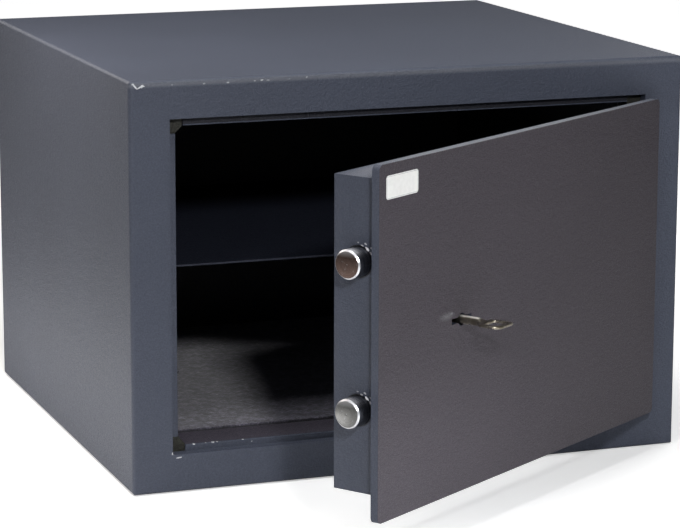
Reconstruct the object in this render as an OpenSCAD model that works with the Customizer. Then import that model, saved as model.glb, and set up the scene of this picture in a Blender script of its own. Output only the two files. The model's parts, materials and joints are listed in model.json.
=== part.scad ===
// Small double-walled steel safe: hinged door with two round bolts, a lever lock and its key.
// Millimetres, +Z up. The origin is the middle of the underside and the door faces -Y.
// The door and all it carries are drawn shut, then swung open by door_angle about the hinge.

/* [Safe body] */
// Width of the body
body_w = 430; // [410:1:480]
// Depth of the body
body_d = 390; // [350:1:450]
// Height of the body
body_h = 300; // [290:1:360]
// Thickness of the outer sheet
shell_t = 2.5; // [2:0.1:3]
// Outside radius of the folded edges
edge_r = 3; // [1:0.5:5]

/* [Door opening] */
// Front frame beside the opening, each side
border_side = 30; // [28:0.5:32]
// Front frame above the opening
border_top = 28; // [26:0.5:34]
// Front frame below the opening
border_bottom = 28; // [26:0.5:34]

/* [Rebate] */
// Gap from the back of the door plate to the stops
stop_gap = 1; // [0.6:0.1:2]
// Sheet thickness of the stops
stop_t = 2; // [1.5:0.1:2.5]
// How far the side and top stops reach into the opening
stop_lip = 6; // [4:0.5:6]
// How far the sill stop rises above the opening's lower edge
sill_lip = 5; // [3:0.5:8]
// How far each stop ends short of the corners
corner_notch = 11.5; // [9:0.5:12]
// Thickness of the plates behind the notched corners
gusset_t = 1.5; // [1:0.1:2]

/* [Double wall] */
// Side wall, outer face to inner face
side_wall = 32; // [30:0.5:40]
// Roof, outer face to inner face
roof_wall = 30; // [28:0.5:40]
// Floor, outer face to inner face
floor_wall = 32; // [31.5:0.5:32.5]
// Back wall, outer face to inner face
back_wall = 28; // [24:0.5:45]
// Sheet thickness of the liner
liner_t = 1.5; // [1:0.1:2]
// How far the back panel sits inside the rear edge
back_inset = 1; // [0.5:0.1:3]
// Space left round each filling board
board_gap = 0.25; // [0.1:0.05:0.5]

/* [Door] */
// How far the door stands open, in degrees
door_angle = 34.3; // [6:0.1:110]
// Thickness of the door plate
plate_t = 6; // [5:0.5:7]
// Gap round the door plate on three sides
plate_gap = 2; // [1.5:0.1:3]
// Gap at the hinged edge of the door plate
hinge_gap = 3; // [2.6:0.1:4]
// Corner radius of the door plate
plate_r = 4; // [1:0.5:6]
// Depth of the box behind the plate, with its cover
case_d = 34; // [33:0.5:42]
// Sheet thickness of that box and its cover
case_t = 1.5; // [1:0.1:2]
// Box set in from the plate's free edge
case_free_inset = 6; // [6:0.5:10]
// Box set in from the plate's hinged edge
case_hinge_inset = 9; // [7:0.5:14]
// Box set down from the plate's top
case_top_inset = 10; // [10:0.5:16]
// Box set up from the plate's bottom
case_bottom_inset = 17.5; // [12:0.5:20]
// Width of the turned-in rim that holds the cover
case_rim = 14; // [12:0.5:16]
// Space between the shut door and the liner
case_clear = 3; // [2.6:0.1:6]

/* [Hinges] */
// Hinge axis in from the body's side
pivot_in = 10.3; // [10:0.1:10.6]
// Hinge axis behind the front face
pivot_back = 9.6; // [9.5:0.1:10]
// Hinge arm centre from the opening's top or bottom edge
hinge_end = 40; // [36:1:50]
// Hinge pin diameter
pin_d = 8; // [6:0.5:8.5]
// Outer diameter of the arm's eye
eye_d = 13; // [12:0.5:13.5]
// Running clearance round the hinge pins
pin_clear = 0.05; // [0.02:0.01:0.1]
// Thickness of the hinge arm
arm_t = 4; // [3:0.5:4.5]
// Height of the hinge arm
arm_h = 24; // [16:1:30]
// Thickness of the fixed ears
ear_t = 3; // [2:0.5:4]
// Thickness of the thrust washer
washer_t = 0.8; // [0.5:0.1:1.2]

/* [Bolts] */
// Bolt diameter
bolt_d = 20; // [16:0.5:21]
// How far the thrown bolts stand out of the door box
bolt_out = 13.5; // [10:0.5:15]
// Length of each bolt
bolt_len = 46; // [42:0.5:48]
// Distance between the two bolts
bolt_pitch = 100; // [96:1:110]
// Bolt axis behind the back of the door plate
bolt_back = 14.4; // [13.5:0.1:15]
// Chamfer on the bolt's free end
bolt_chamfer = 1; // [0.5:0.1:2]
// Running clearance of the bolts in their guides
bolt_clear = 0.08; // [0.03:0.01:0.1]
// Length of the guide blocks
guide_len = 15; // [8:0.5:16]
// Thickness of the bar that joins the bolts
bar_t = 6; // [4:0.5:7]

/* [Lock] */
// Keyhole in from the plate's free edge
key_in = 98.5; // [98:0.5:110]
// Keyhole above the plate's bottom edge
key_up = 121; // [120:0.5:124]
// Width of the lock
lock_w = 66; // [62:1:67]
// Height of the lock
lock_h = 76; // [74:1:77]
// Wall thickness of the lock case
lock_wall = 2; // [1.5:0.1:2.2]
// Rotor diameter
rotor_d = 16; // [14:0.5:17]
// Crank pin's distance from the rotor axis
crank_r = 7; // [7:0.1:7.4]
// Number of levers
lever_n = 6; // [3:1:6]
// Thickness of one lever
lever_t = 1.4; // [1:0.1:1.6]
// Spacing of the levers
lever_pitch = 2; // [1.8:0.05:2.1]

/* [Key] */
// Key shaft diameter
shaft_d = 6; // [5:0.1:6.4]
// Width across the two bits
bit_span = 23; // [20:0.5:23.5]
// Thickness of the bits
bit_t = 2.6; // [2:0.1:2.8]
// Width of the bow
bow_w = 22; // [16:0.5:30]
// Length of the bow
bow_len = 19; // [15:0.5:24]
// Thickness of the bow
bow_t = 2; // [1.6:0.1:3]
// Shaft showing between the door and the bow
shaft_out = 17.5; // [12:0.5:24]

/* [Shelf and mat] */
// Shelf top above the liner's floor
shelf_up = 124.5; // [90:0.5:150]
// Shelf sheet thickness
shelf_t = 1.5; // [1:0.1:3]
// Shelf front edge behind the liner's front edge
shelf_setback = 7; // [2:0.5:30]
// Width of the ledge under the shelf
rail_w = 12; // [8:0.5:16]
// Height of the rail on the side wall
rail_h = 20; // [12:0.5:30]
// Thickness of the felt mat
mat_t = 3; // [2:0.5:5]
// Gap round the shelf and the mat
inner_gap = 0.5; // [0.3:0.1:1.5]

/* [Anchors] */
// Anchor hole diameter
anchor_d = 12; // [8:0.5:14]
// Wall of the anchor sleeves
sleeve_wall = 2; // [1.5:0.5:4]
// Distance between the two holes in the base
base_anchor_pitch = 250; // [150:5:300]
// Distance between the two holes in the back
back_anchor_pitch = 250; // [150:5:300]
// Height of the holes in the back
back_anchor_up = 215; // [190:1:240]
// Distance from the liner's back to the holes in the base
base_anchor_in = 147; // [60:1:250]

/* [Hidden] */
$fn = 48;

// cutting tools run past the faces that they cut by this much
over = 1;
// hair of space that keeps a pressed or threaded fit from touching all round
fit = 0.02;

// outer faces of the body
front_y = -body_d / 2;
back_y = body_d / 2;
side_x = body_w / 2;
// inner faces of the outer sheet
in_x = side_x - shell_t;
in_front_y = front_y + shell_t;
in_top_z = body_h - shell_t;
panel_y = back_y - back_inset - shell_t;

// door opening
open_x = side_x - border_side;
open_b = border_bottom;
open_t = body_h - border_top;

// stops
stop_y = front_y + plate_t + stop_gap;
stop_back_y = stop_y + stop_t;
gusset_over = 0.5;
gusset_reach = corner_notch + gusset_over;

// door plate, shut
plate_l = -open_x + plate_gap;
plate_r_x = open_x - hinge_gap;
plate_b = open_b + plate_gap;
plate_top = open_t - plate_gap;
plate_back_y = front_y + plate_t;

// box behind the plate, shut
case_l = plate_l + case_free_inset;
case_r = plate_r_x - case_hinge_inset;
case_b = plate_b + case_bottom_inset;
case_top = plate_top - case_top_inset;
case_back_y = plate_back_y + case_d;
cover_y = case_back_y - case_t;

// liner
liner_x = side_x - side_wall;
liner_top = body_h - roof_wall;
liner_back_y = back_y - back_wall;
liner_front_y = case_back_y + case_clear;

// anchors
anchor_y = liner_back_y - base_anchor_in;
sleeve_d = anchor_d + 2 * sleeve_wall;
mat_hole_gap = 2;
mat_hole_d = sleeve_d + 2 * mat_hole_gap;

// shelf
rail_end_gap = 5;
shelf_top_z = floor_wall + shelf_up;
rail_top_z = shelf_top_z - shelf_t;
rail_front_y = liner_front_y + shelf_setback + rail_end_gap;

// hinge
pivot_x = side_x - pivot_in;
pivot_y = front_y + pivot_back;
hinge_z = [open_b + hinge_end, open_t - hinge_end];
eye_r = eye_d / 2;
end_play = 0.1;
washer_gap = 0.05;
ear_low = arm_h / 2 + end_play + washer_t + washer_gap;
ear_high = arm_h / 2 + 3 * end_play;
ear_rim = 0.5;
ear_reach = eye_r + ear_rim;
ear_back = 7.4;
pin_head_rim = 1.5;
pin_head_d = pin_d + 2 * pin_head_rim;
pin_head_t = 2;
washer_play = 0.2;
arm_slot_gap = 2.5;
slot_h = arm_h + 2 * arm_slot_gap;
arm_inset = 3;
arm_back_y = case_back_y - arm_inset;
foot_t = 3.5;
foot_gap = 4;
foot_y = plate_back_y + foot_gap;

// bolts
bolt_y = plate_back_y + bolt_back;
bolt_z0 = (case_b + case_top) / 2;
bolt_zs = [bolt_z0 - bolt_pitch / 2, bolt_z0 + bolt_pitch / 2];
bolt_tip_x = case_l - bolt_out;
bolt_end_x = bolt_tip_x + bolt_len;
bolt_hole_gap = 0.4;
bolt_hole_d = bolt_d + 2 * bolt_hole_gap;
guide_wall = 5;
guide_half = bolt_d / 2 + guide_wall;
bar_end_x = bolt_end_x + bar_t;
bar_half = 11;
bar_over = 14;
bolt_screw_d = 6;
bolt_screw_in = 14;
bolt_screw_end_gap = 1;
bolt_screw_head_d = 10;
bolt_screw_head_t = 4;

// lock, about the keyhole
key_x = plate_l + key_in;
key_z = plate_b + key_up;
lock_l = key_x - lock_w / 2;
lock_r = key_x + lock_w / 2;
lock_b = key_z - lock_h / 2;
lock_top = key_z + lock_h / 2;
lock_front_y = plate_back_y;
lock_inner_y = lock_front_y + lock_wall;
lever_front_gap = 1.5;
lever_back_gap = 1.4;
lever_y = lock_inner_y + lever_front_gap;
mid_y = lever_y + lever_n * lever_pitch + lever_back_gap;
mid_t = 2.5;
mid_edge_gap = 0.5;
mid_back_y = mid_y + mid_t;
bolt_plate_gap = 0.5;
bolt_plate_y = mid_back_y + bolt_plate_gap;
bolt_plate_t = 3;
bolt_plate_back_gap = 1.1;
cover_in_y = bolt_plate_y + bolt_plate_t + bolt_plate_back_gap;
lock_cover_t = 1.5;
lock_back_y = cover_in_y + lock_cover_t;
disc_d = 26;
turn_clear = 0.05;
rotor_front_gap = 0.3;
disc_back_gap = 0.1;
crank_end = 0.3;
crank_pin_d = 5;
post_d = 5;
post_x = 25;
post_hole_d = post_d + 2 * fit;
lever_bore_gap = 0.7;
lever_bore_d = bit_span + 2 * lever_bore_gap;
lever_rim = 5;
lever_tail_half = 5;
lever_block_half = 14;
lever_block_z = 30;
lever_step = 1;
post_rim = 3;
gate_w = 7;
gate_h = 8;
spring_t = 0.5;
spring_low_z = 19;
spring_bend_drop = 3;
spring_bend_z = lever_block_z - spring_bend_drop;
spring_reach = 7.6;
stump_d = 3;
stump_z = 22;
stump_play = 0.5;
stump_side_play = 1;
stump_rim = 2.5;
corner_in = 8;
spacer_d = 8;
lock_screw_d = 4;
lock_screw_bite = 3.2;
lock_screw_end_gap = 0.3;
lock_head_d = 7;
lock_head_t = 2.2;
lock_bolt_half = 12;
bolt_slot_gap = 0.4;
yoke_play = 1.9;
yoke_end_play = 0.6;
guide_post_x = 16;
guide_post_play = 0.1;
foot_screw_d = 4;
foot_screw_z = 7;
foot_setback = 2;
foot_front_y = bolt_y - bar_half + foot_setback;
foot_screw_y = (foot_front_y + bolt_plate_y) / 2;
foot_plate_t = 3;
foot_head_rim = 1.3;
foot_head_d = foot_screw_d + 2 * foot_head_rim;
foot_head_t = 2;

// keyhole
slot_end_gap = 0.75;
slot_len = bit_span + 2 * slot_end_gap;
slot_w = 4;
keyhole_d = 9;

// key
key_tip_gap = 1;
key_tip_y = mid_y - key_tip_gap;
bit_back_gap = 1.5;
bit_back_y = mid_y - bit_back_gap;
bit_front_gap = 1;
bit_front_y = lock_inner_y + bit_front_gap;
bit_steps = [0, 1.6, 0.7, 2.1, 1.1, 0.4];
bow_front_y = front_y - shaft_out;
bow_bar = 4.5;
bow_r = 5.5;
bow_root = 3;
slot_gap = 0.4;
key_end_gap = 0.6;

// cover screws
cover_screw_d = 4;
cover_head_d = 7.2;
cover_head_t = 2;
cover_screw_end = 3;

// colours
paint = [0.30, 0.31, 0.35];
dark_paint = [0.13, 0.13, 0.15];
zinc = [0.62, 0.63, 0.64];
bright = [0.78, 0.77, 0.75];
board_white = [0.80, 0.79, 0.74];
felt_grey = [0.24, 0.23, 0.25];
brassy = [0.72, 0.62, 0.38];

// ---------------------------------------------------------------- helpers

// box between two opposite corners
module block(low, high) {
    translate(low) cube(high - low);
}

// round rods along each axis, from one end to the other
module rod_x(x0, x1, y, z, d) {
    translate([x0, y, z]) rotate([0, 90, 0]) cylinder(h = x1 - x0, d = d);
}
module rod_y(x, y0, y1, z, d) {
    translate([x, y0, z]) rotate([-90, 0, 0]) cylinder(h = y1 - y0, d = d);
}
module rod_z(x, y, z0, z1, d) {
    translate([x, y, z0]) cylinder(h = z1 - z0, d = d);
}

// rectangle with all four corners rounded, centred
module rounded_rect(w, h, r) {
    square([w - 2 * r, h], center = true);
    square([w, h - 2 * r], center = true);
    for (sx = [-1, 1], sy = [-1, 1])
        translate([sx * (w / 2 - r), sy * (h / 2 - r)]) circle(r);
}

// outline of width w from the front face to the back, with its two front corners rounded
module front_rounded(w, r) {
    translate([-w / 2 + r, front_y]) square([w - 2 * r, body_d]);
    translate([-w / 2, front_y + r]) square([w, body_d - r]);
    for (s = [-1, 1])
        translate([s * (w / 2 - r), front_y + r]) circle(r);
}

// swings what is drawn shut to where the open door holds it
module on_door() {
    translate([pivot_x, pivot_y, 0])
        rotate([0, 0, door_angle])
            translate([-pivot_x, -pivot_y, 0])
                children();
}

// sheet drawn in X and Z from y0 to y1; its outline's second coordinate is the height
module sheet_xz(y0, y1) {
    translate([0, y1, 0]) rotate([90, 0, 0]) linear_extrude(y1 - y0) children();
}

// ---------------------------------------------------------------- safe body

module outer_shell() color(paint) difference() {
    intersection() {
        translate([0, back_y, body_h / 2])
            rotate([90, 0, 0])
                linear_extrude(body_d) rounded_rect(body_w, body_h, edge_r);
        linear_extrude(body_h) front_rounded(body_w, edge_r);
        translate([side_x, 0, body_h / 2])
            rotate([0, -90, 0])
                linear_extrude(body_w) front_rounded(body_h, edge_r);
    }
    block([-in_x, in_front_y, shell_t], [in_x, back_y + over, in_top_z]);
    block([-open_x, front_y - over, open_b], [open_x, in_front_y + over, open_t]);
    for (s = [-1, 1])
        rod_z(s * base_anchor_pitch / 2, anchor_y, -over, shell_t + over, anchor_d);
}

module back_panel() color(paint) difference() {
    block([-in_x, panel_y, shell_t], [in_x, panel_y + shell_t, in_top_z]);
    for (s = [-1, 1])
        rod_y(s * back_anchor_pitch / 2, panel_y - over, panel_y + shell_t + over, back_anchor_up, anchor_d);
}

// one side stop: a leg behind the frame and a lip that reaches into the opening
module side_stop(s) {
    outer = open_x + stop_t;
    block([s > 0 ? open_x : -outer, in_front_y, open_b], [s > 0 ? outer : -open_x, stop_back_y, open_t]);
    block(
        [s > 0 ? open_x - stop_lip : -outer, stop_y, open_b + corner_notch],
        [s > 0 ? outer : -open_x + stop_lip, stop_back_y, open_t - corner_notch]
    );
}

module stop_left() color(paint) side_stop(-1);

// the hinged side has a slot for each gooseneck to swing through
module stop_right() color(paint) difference() {
    side_stop(1);
    for (z = hinge_z)
        block(
            [open_x - stop_lip - over, in_front_y - over, z - slot_h / 2],
            [open_x + stop_t + over, stop_back_y + over, z + slot_h / 2]
        );
}

module stop_top() color(paint) union() {
    outer = open_x + stop_t;
    block([-outer, in_front_y, open_t], [outer, stop_back_y, open_t + stop_t]);
    block(
        [-open_x + corner_notch, stop_y, open_t - stop_lip],
        [open_x - corner_notch, stop_back_y, open_t + stop_t]
    );
}

module stop_sill() color(paint) union() {
    outer = open_x + stop_t;
    block([-outer, in_front_y, open_b - stop_t], [outer, stop_back_y, open_b]);
    block(
        [-open_x + corner_notch, stop_y, open_b - stop_t],
        [open_x - corner_notch, stop_back_y, open_b + sill_lip]
    );
}

// plate behind one notched corner; its inner edge runs straight from lip to lip
module gusset(sx, sz, lip) {
    x0 = sx * (open_x + stop_t);
    z0 = sz > 0 ? open_t + stop_t : open_b - stop_t;
    edge_z = sz > 0 ? open_t : open_b;
    polygon([
        [x0, z0],
        [sx * (open_x - gusset_reach), z0],
        [sx * (open_x - gusset_reach), edge_z - sz * lip],
        [sx * (open_x - stop_lip), edge_z - sz * gusset_reach],
        [x0, edge_z - sz * gusset_reach]
    ]);
}

module corner_gussets() color(dark_paint)
    sheet_xz(stop_back_y, stop_back_y + gusset_t)
        for (sx = [-1, 1]) {
            gusset(sx, 1, stop_lip);
            gusset(sx, -1, sill_lip);
        }

// room for the lower gussets in what runs forward under them
module gusset_room(gap) {
    reach = open_x - gusset_reach - gap;
    for (s = [-1, 1])
        block(
            [s > 0 ? reach : -liner_x - liner_t - over, stop_y, open_b - stop_t - gap],
            [s > 0 ? liner_x + liner_t + over : -reach, stop_back_y + gusset_t + gap, floor_wall + over]
        );
}

module liner() color(dark_paint) difference() {
    union() {
        block(
            [-liner_x - liner_t, liner_front_y, floor_wall - liner_t],
            [liner_x + liner_t, liner_back_y + liner_t, liner_top + liner_t]
        );
        // turned-out front edge that closes the double wall at the sides and the roof
        block([-in_x, liner_front_y, floor_wall - liner_t], [in_x, liner_front_y + liner_t, in_top_z]);
        // floor carried forward to the sill
        block([-liner_x, stop_back_y, floor_wall - liner_t], [liner_x, liner_front_y + over, floor_wall]);
    }
    block([-liner_x, liner_front_y - over, floor_wall], [liner_x, liner_back_y, liner_top]);
    gusset_room(0);
    for (s = [-1, 1]) {
        rod_z(s * base_anchor_pitch / 2, anchor_y, floor_wall - liner_t - over, floor_wall + over, anchor_d);
        rod_y(
            s * back_anchor_pitch / 2, liner_back_y - over, liner_back_y + liner_t + over,
            back_anchor_up, anchor_d
        );
    }
}

// one side board, full height of the cavity
module side_board(s) {
    low = liner_x + liner_t + board_gap;
    high = in_x - board_gap;
    block(
        [s > 0 ? low : -high, liner_front_y + liner_t + board_gap, shell_t + board_gap],
        [s > 0 ? high : -low, liner_back_y + liner_t - board_gap, in_top_z - board_gap]
    );
}

module left_filling() color(board_white) side_board(-1);
module right_filling() color(board_white) side_board(1);

module roof_filling() color(board_white)
    block(
        [-liner_x - liner_t, liner_front_y + liner_t + board_gap, liner_top + liner_t + board_gap],
        [liner_x + liner_t, liner_back_y + liner_t - board_gap, in_top_z - board_gap]
    );

module floor_filling() color(board_white) difference() {
    block(
        [-liner_x - liner_t, stop_back_y + board_gap, shell_t + board_gap],
        [liner_x + liner_t, liner_back_y + liner_t - board_gap, floor_wall - liner_t - board_gap]
    );
    gusset_room(board_gap);
    for (s = [-1, 1])
        rod_z(s * base_anchor_pitch / 2, anchor_y, shell_t, floor_wall, sleeve_d + 2 * board_gap);
}

module back_filling() color(board_white) difference() {
    block(
        [-in_x + board_gap, liner_back_y + liner_t + board_gap, shell_t + board_gap],
        [in_x - board_gap, panel_y - board_gap, in_top_z - board_gap]
    );
    for (s = [-1, 1])
        rod_y(
            s * back_anchor_pitch / 2, liner_back_y, panel_y + over,
            back_anchor_up, sleeve_d + 2 * board_gap
        );
}

module base_sleeves() color(zinc)
    for (s = [-1, 1])
        difference() {
            rod_z(s * base_anchor_pitch / 2, anchor_y, shell_t, floor_wall - liner_t, sleeve_d);
            rod_z(s * base_anchor_pitch / 2, anchor_y, 0, floor_wall, anchor_d);
        }

module back_sleeves() color(zinc)
    for (s = [-1, 1])
        difference() {
            rod_y(s * back_anchor_pitch / 2, liner_back_y + liner_t, panel_y, back_anchor_up, sleeve_d);
            rod_y(s * back_anchor_pitch / 2, liner_back_y, panel_y + over, back_anchor_up, anchor_d);
        }

// ---------------------------------------------------------------- shelf and mat

module shelf() color(dark_paint)
    block(
        [-liner_x + inner_gap, liner_front_y + shelf_setback, rail_top_z],
        [liner_x - inner_gap, liner_back_y - inner_gap, shelf_top_z]
    );

// angle strip: one leg on the side wall, one under the shelf
module shelf_rail(s) {
    block(
        [s > 0 ? liner_x - liner_t : -liner_x, rail_front_y, rail_top_z - rail_h],
        [s > 0 ? liner_x : -liner_x + liner_t, liner_back_y - rail_end_gap, rail_top_z]
    );
    block(
        [s > 0 ? liner_x - rail_w : -liner_x, rail_front_y, rail_top_z - liner_t],
        [s > 0 ? liner_x : -liner_x + rail_w, liner_back_y - rail_end_gap, rail_top_z]
    );
}

module shelf_rail_left() color(dark_paint) union() shelf_rail(-1);
module shelf_rail_right() color(dark_paint) union() shelf_rail(1);

module floor_mat() color(felt_grey) difference() {
    block(
        [-liner_x + inner_gap, liner_front_y + inner_gap, floor_wall],
        [liner_x - inner_gap, liner_back_y - inner_gap, floor_wall + mat_t]
    );
    for (s = [-1, 1])
        rod_z(s * base_anchor_pitch / 2, anchor_y, floor_wall - over, floor_wall + mat_t + over, mat_hole_d);
}

// ---------------------------------------------------------------- hinges, fixed side

// two ears that hold a pin above and below the arm's eye
module hinge_ears(z)
    for (ear = [[z - ear_low - ear_t, z - ear_low], [z + ear_high, z + ear_high + ear_t]])
        difference() {
            block([pivot_x - ear_reach, in_front_y, ear[0]], [in_x, pivot_y + ear_back, ear[1]]);
            rod_z(pivot_x, pivot_y, ear[0] - over, ear[1] + over, pin_d + 2 * fit);
        }

module upper_hinge_ears() color(dark_paint) hinge_ears(hinge_z[1]);
module lower_hinge_ears() color(dark_paint) hinge_ears(hinge_z[0]);

// pin with a head that sits on the upper ear
module hinge_pin(z) {
    top = z + ear_high + ear_t;
    rod_z(pivot_x, pivot_y, z - ear_low - ear_t - over, top, pin_d);
    rod_z(pivot_x, pivot_y, top, top + pin_head_t, pin_head_d);
}

module upper_hinge_pin() color(zinc) union() hinge_pin(hinge_z[1]);
module lower_hinge_pin() color(zinc) union() hinge_pin(hinge_z[0]);

module hinge_washers() color(brassy)
    for (z = hinge_z)
        difference() {
            rod_z(pivot_x, pivot_y, z - ear_low + washer_gap, z - ear_low + washer_gap + washer_t, eye_d);
            rod_z(pivot_x, pivot_y, z - ear_low - over, z, pin_d + 2 * washer_play);
        }

// ---------------------------------------------------------------- door

// keyhole outline: a slot for the bits and a round middle for the shaft
module keyhole(y0, y1, w, d) {
    block([key_x - slot_len / 2, y0, key_z - w / 2], [key_x + slot_len / 2, y1, key_z + w / 2]);
    rod_y(key_x, y0, y1, key_z, d);
}

// places its children at the lock's four corner screws
module lock_corners()
    for (sx = [-1, 1], sz = [-1, 1])
        translate([key_x + sx * (lock_w / 2 - corner_in), 0, key_z + sz * (lock_h / 2 - corner_in)])
            children();

// places its children at the cover's six screws
module cover_screw_spots()
    for (x = [case_l + case_rim / 2, (case_l + case_r) / 2, case_r - case_rim / 2])
        for (z = [case_b + case_rim / 2, case_top - case_rim / 2])
            translate([x, 0, z]) children();

module door_plate() color(paint) on_door() difference() {
    sheet_xz(front_y, plate_back_y)
        translate([(plate_l + plate_r_x) / 2, (plate_b + plate_top) / 2])
            rounded_rect(plate_r_x - plate_l, plate_top - plate_b, plate_r);
    keyhole(front_y - over, plate_back_y + over, slot_w, keyhole_d);
    lock_corners()
        rod_y(
            0, plate_back_y - lock_screw_bite - lock_screw_end_gap, plate_back_y + over,
            0, lock_screw_d + 2 * fit
        );
}

module door_case() color(paint) on_door() difference() {
    block([case_l, plate_back_y, case_b], [case_r, cover_y, case_top]);
    block(
        [case_l + case_t, plate_back_y - over, case_b + case_t],
        [case_r - case_t, cover_y - case_t, case_top - case_t]
    );
    block(
        [case_l + case_rim, plate_back_y, case_b + case_rim],
        [case_r - case_rim, cover_y + over, case_top - case_rim]
    );
    for (z = bolt_zs)
        rod_x(case_l - over, case_l + case_t + over, bolt_y, z, bolt_hole_d);
    cover_screw_spots()
        rod_y(0, cover_y - case_t - over, cover_y + over, 0, cover_screw_d + 2 * fit);
}

module case_cover() color(paint) on_door() difference() {
    block([case_l, cover_y, case_b], [case_r, case_back_y, case_top]);
    cover_screw_spots()
        rod_y(0, cover_y - over, case_back_y + over, 0, cover_screw_d + 2 * fit);
}

module cover_screws() color(zinc) on_door()
    cover_screw_spots()
        union() {
            rod_y(0, cover_y - case_t - cover_screw_end, case_back_y, 0, cover_screw_d);
            rod_y(0, case_back_y, case_back_y + cover_head_t, 0, cover_head_d);
        }

// gooseneck: eye, leg back along the side wall, leg across to the box, foot on the box's side
module hinge_arm(z) difference() {
    union() {
        rod_z(pivot_x, pivot_y, z - arm_h / 2, z + arm_h / 2, eye_d);
        block(
            [pivot_x + eye_r - arm_t, pivot_y, z - arm_h / 2],
            [pivot_x + eye_r, arm_back_y, z + arm_h / 2]
        );
        block([case_r, arm_back_y - arm_t, z - arm_h / 2], [pivot_x + eye_r, arm_back_y, z + arm_h / 2]);
        block([case_r, foot_y, z - arm_h / 2], [case_r + foot_t, arm_back_y, z + arm_h / 2]);
    }
    rod_z(pivot_x, pivot_y, z - arm_h / 2 - over, z + arm_h / 2 + over, pin_d + 2 * pin_clear);
}

module upper_hinge_arm() color(dark_paint) on_door() hinge_arm(hinge_z[1]);
module lower_hinge_arm() color(dark_paint) on_door() hinge_arm(hinge_z[0]);

// block with a bore, against the plate and the box's free side
module bolt_guide(z) difference() {
    block(
        [case_l + case_t, plate_back_y, z - guide_half],
        [case_l + case_t + guide_len, bolt_y + guide_half, z + guide_half]
    );
    rod_x(case_l, case_l + case_t + guide_len + over, bolt_y, z, bolt_d + 2 * bolt_clear);
}

module upper_bolt_guide() color(zinc) on_door() bolt_guide(bolt_zs[1]);
module lower_bolt_guide() color(zinc) on_door() bolt_guide(bolt_zs[0]);

// ---------------------------------------------------------------- lock

// open-backed case with the bolt's slot in its free side
module lock_case() color(zinc) on_door() difference() {
    block([lock_l, lock_front_y, lock_b], [lock_r, cover_in_y, lock_top]);
    block(
        [lock_l + lock_wall, lock_inner_y, lock_b + lock_wall],
        [lock_r - lock_wall, cover_in_y + over, lock_top - lock_wall]
    );
    keyhole(lock_front_y - over, lock_inner_y + over, bit_t + 2 * slot_gap, rotor_d + 2 * turn_clear);
    block(
        [lock_l - over, bolt_plate_y - bolt_slot_gap, key_z - lock_bolt_half - bolt_slot_gap],
        [
            lock_l + lock_wall + over,
            bolt_plate_y + bolt_plate_t + bolt_slot_gap,
            key_z + lock_bolt_half + bolt_slot_gap
        ]
    );
    lock_corners()
        rod_y(0, lock_front_y - over, lock_inner_y + over, 0, lock_screw_d + 2 * fit);
}

// plate between the levers and the bolt; the rotor's disc turns in its bore
module lock_mid_plate() color(zinc) on_door() difference() {
    block(
        [lock_l + lock_wall + mid_edge_gap, mid_y, lock_b + lock_wall + mid_edge_gap],
        [lock_r - lock_wall - mid_edge_gap, mid_back_y, lock_top - lock_wall - mid_edge_gap]
    );
    rod_y(key_x, mid_y - over, mid_back_y + over, key_z, disc_d + 2 * turn_clear);
    rod_y(key_x + post_x, mid_y - over, mid_back_y + over, key_z, post_hole_d);
    block(
        [
            key_x - crank_r - stump_d / 2 - stump_side_play,
            mid_y - over,
            key_z + stump_z - stump_d / 2 - stump_play
        ],
        [
            key_x + crank_r + stump_d / 2 + stump_side_play,
            mid_back_y + over,
            key_z + stump_z + stump_d / 2 + stump_play
        ]
    );
    lock_corners()
        rod_y(0, mid_y - over, mid_back_y + over, 0, lock_screw_d + 2 * fit);
}

module lock_cover() color(zinc) on_door() difference() {
    block([lock_l, cover_in_y, lock_b], [lock_r, lock_back_y, lock_top]);
    lock_corners()
        rod_y(0, cover_in_y - over, lock_back_y + over, 0, lock_screw_d + 2 * fit);
}

// tubes on the corner screws, in front of the mid plate and behind it
module lock_spacers() color(zinc) on_door()
    lock_corners()
        for (run = [[lock_inner_y, mid_y], [mid_back_y, cover_in_y]])
            difference() {
                rod_y(0, run[0], run[1], 0, spacer_d);
                rod_y(0, run[0] - over, run[1] + over, 0, lock_screw_d + 2 * fit);
            }

module lock_screws() color(zinc) on_door()
    lock_corners()
        union() {
            rod_y(0, plate_back_y - lock_screw_bite, lock_back_y, 0, lock_screw_d);
            rod_y(0, lock_back_y, lock_back_y + lock_head_t, 0, lock_head_d);
        }

// outline of one lever: ring round the key, tail to the post, block with the gate above
module lever_outline() difference() {
    union() {
        circle(d = lever_bore_d + 2 * lever_rim);
        translate([lever_bore_d / 2 + lever_step, -lever_tail_half])
            square([post_x - lever_bore_d / 2 - lever_step, 2 * lever_tail_half]);
        translate([post_x, 0]) circle(d = post_d + 2 * post_rim);
        translate([-lever_block_half, lever_bore_d / 2 + lever_step])
            square([2 * lever_block_half, lever_block_z - lever_bore_d / 2 - lever_step]);
    }
    circle(d = lever_bore_d);
    translate([post_x, 0]) circle(d = post_hole_d);
    for (s = [-1, 1])
        translate([s * crank_r - gate_w / 2, stump_z - gate_h / 2]) square([gate_w, gate_h]);
    translate([-crank_r, stump_z - stump_d / 2 - stump_play])
        square([2 * crank_r, stump_d + 2 * stump_play]);
}

module lock_levers() color(brassy) on_door()
    for (i = [0 : lever_n - 1])
        sheet_xz(lever_y + i * lever_pitch, lever_y + i * lever_pitch + lever_t)
            translate([key_x, key_z]) lever_outline();

module lever_post() color(zinc) on_door()
    rod_y(key_x + post_x, lock_inner_y, mid_back_y, key_z, post_d);

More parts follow.
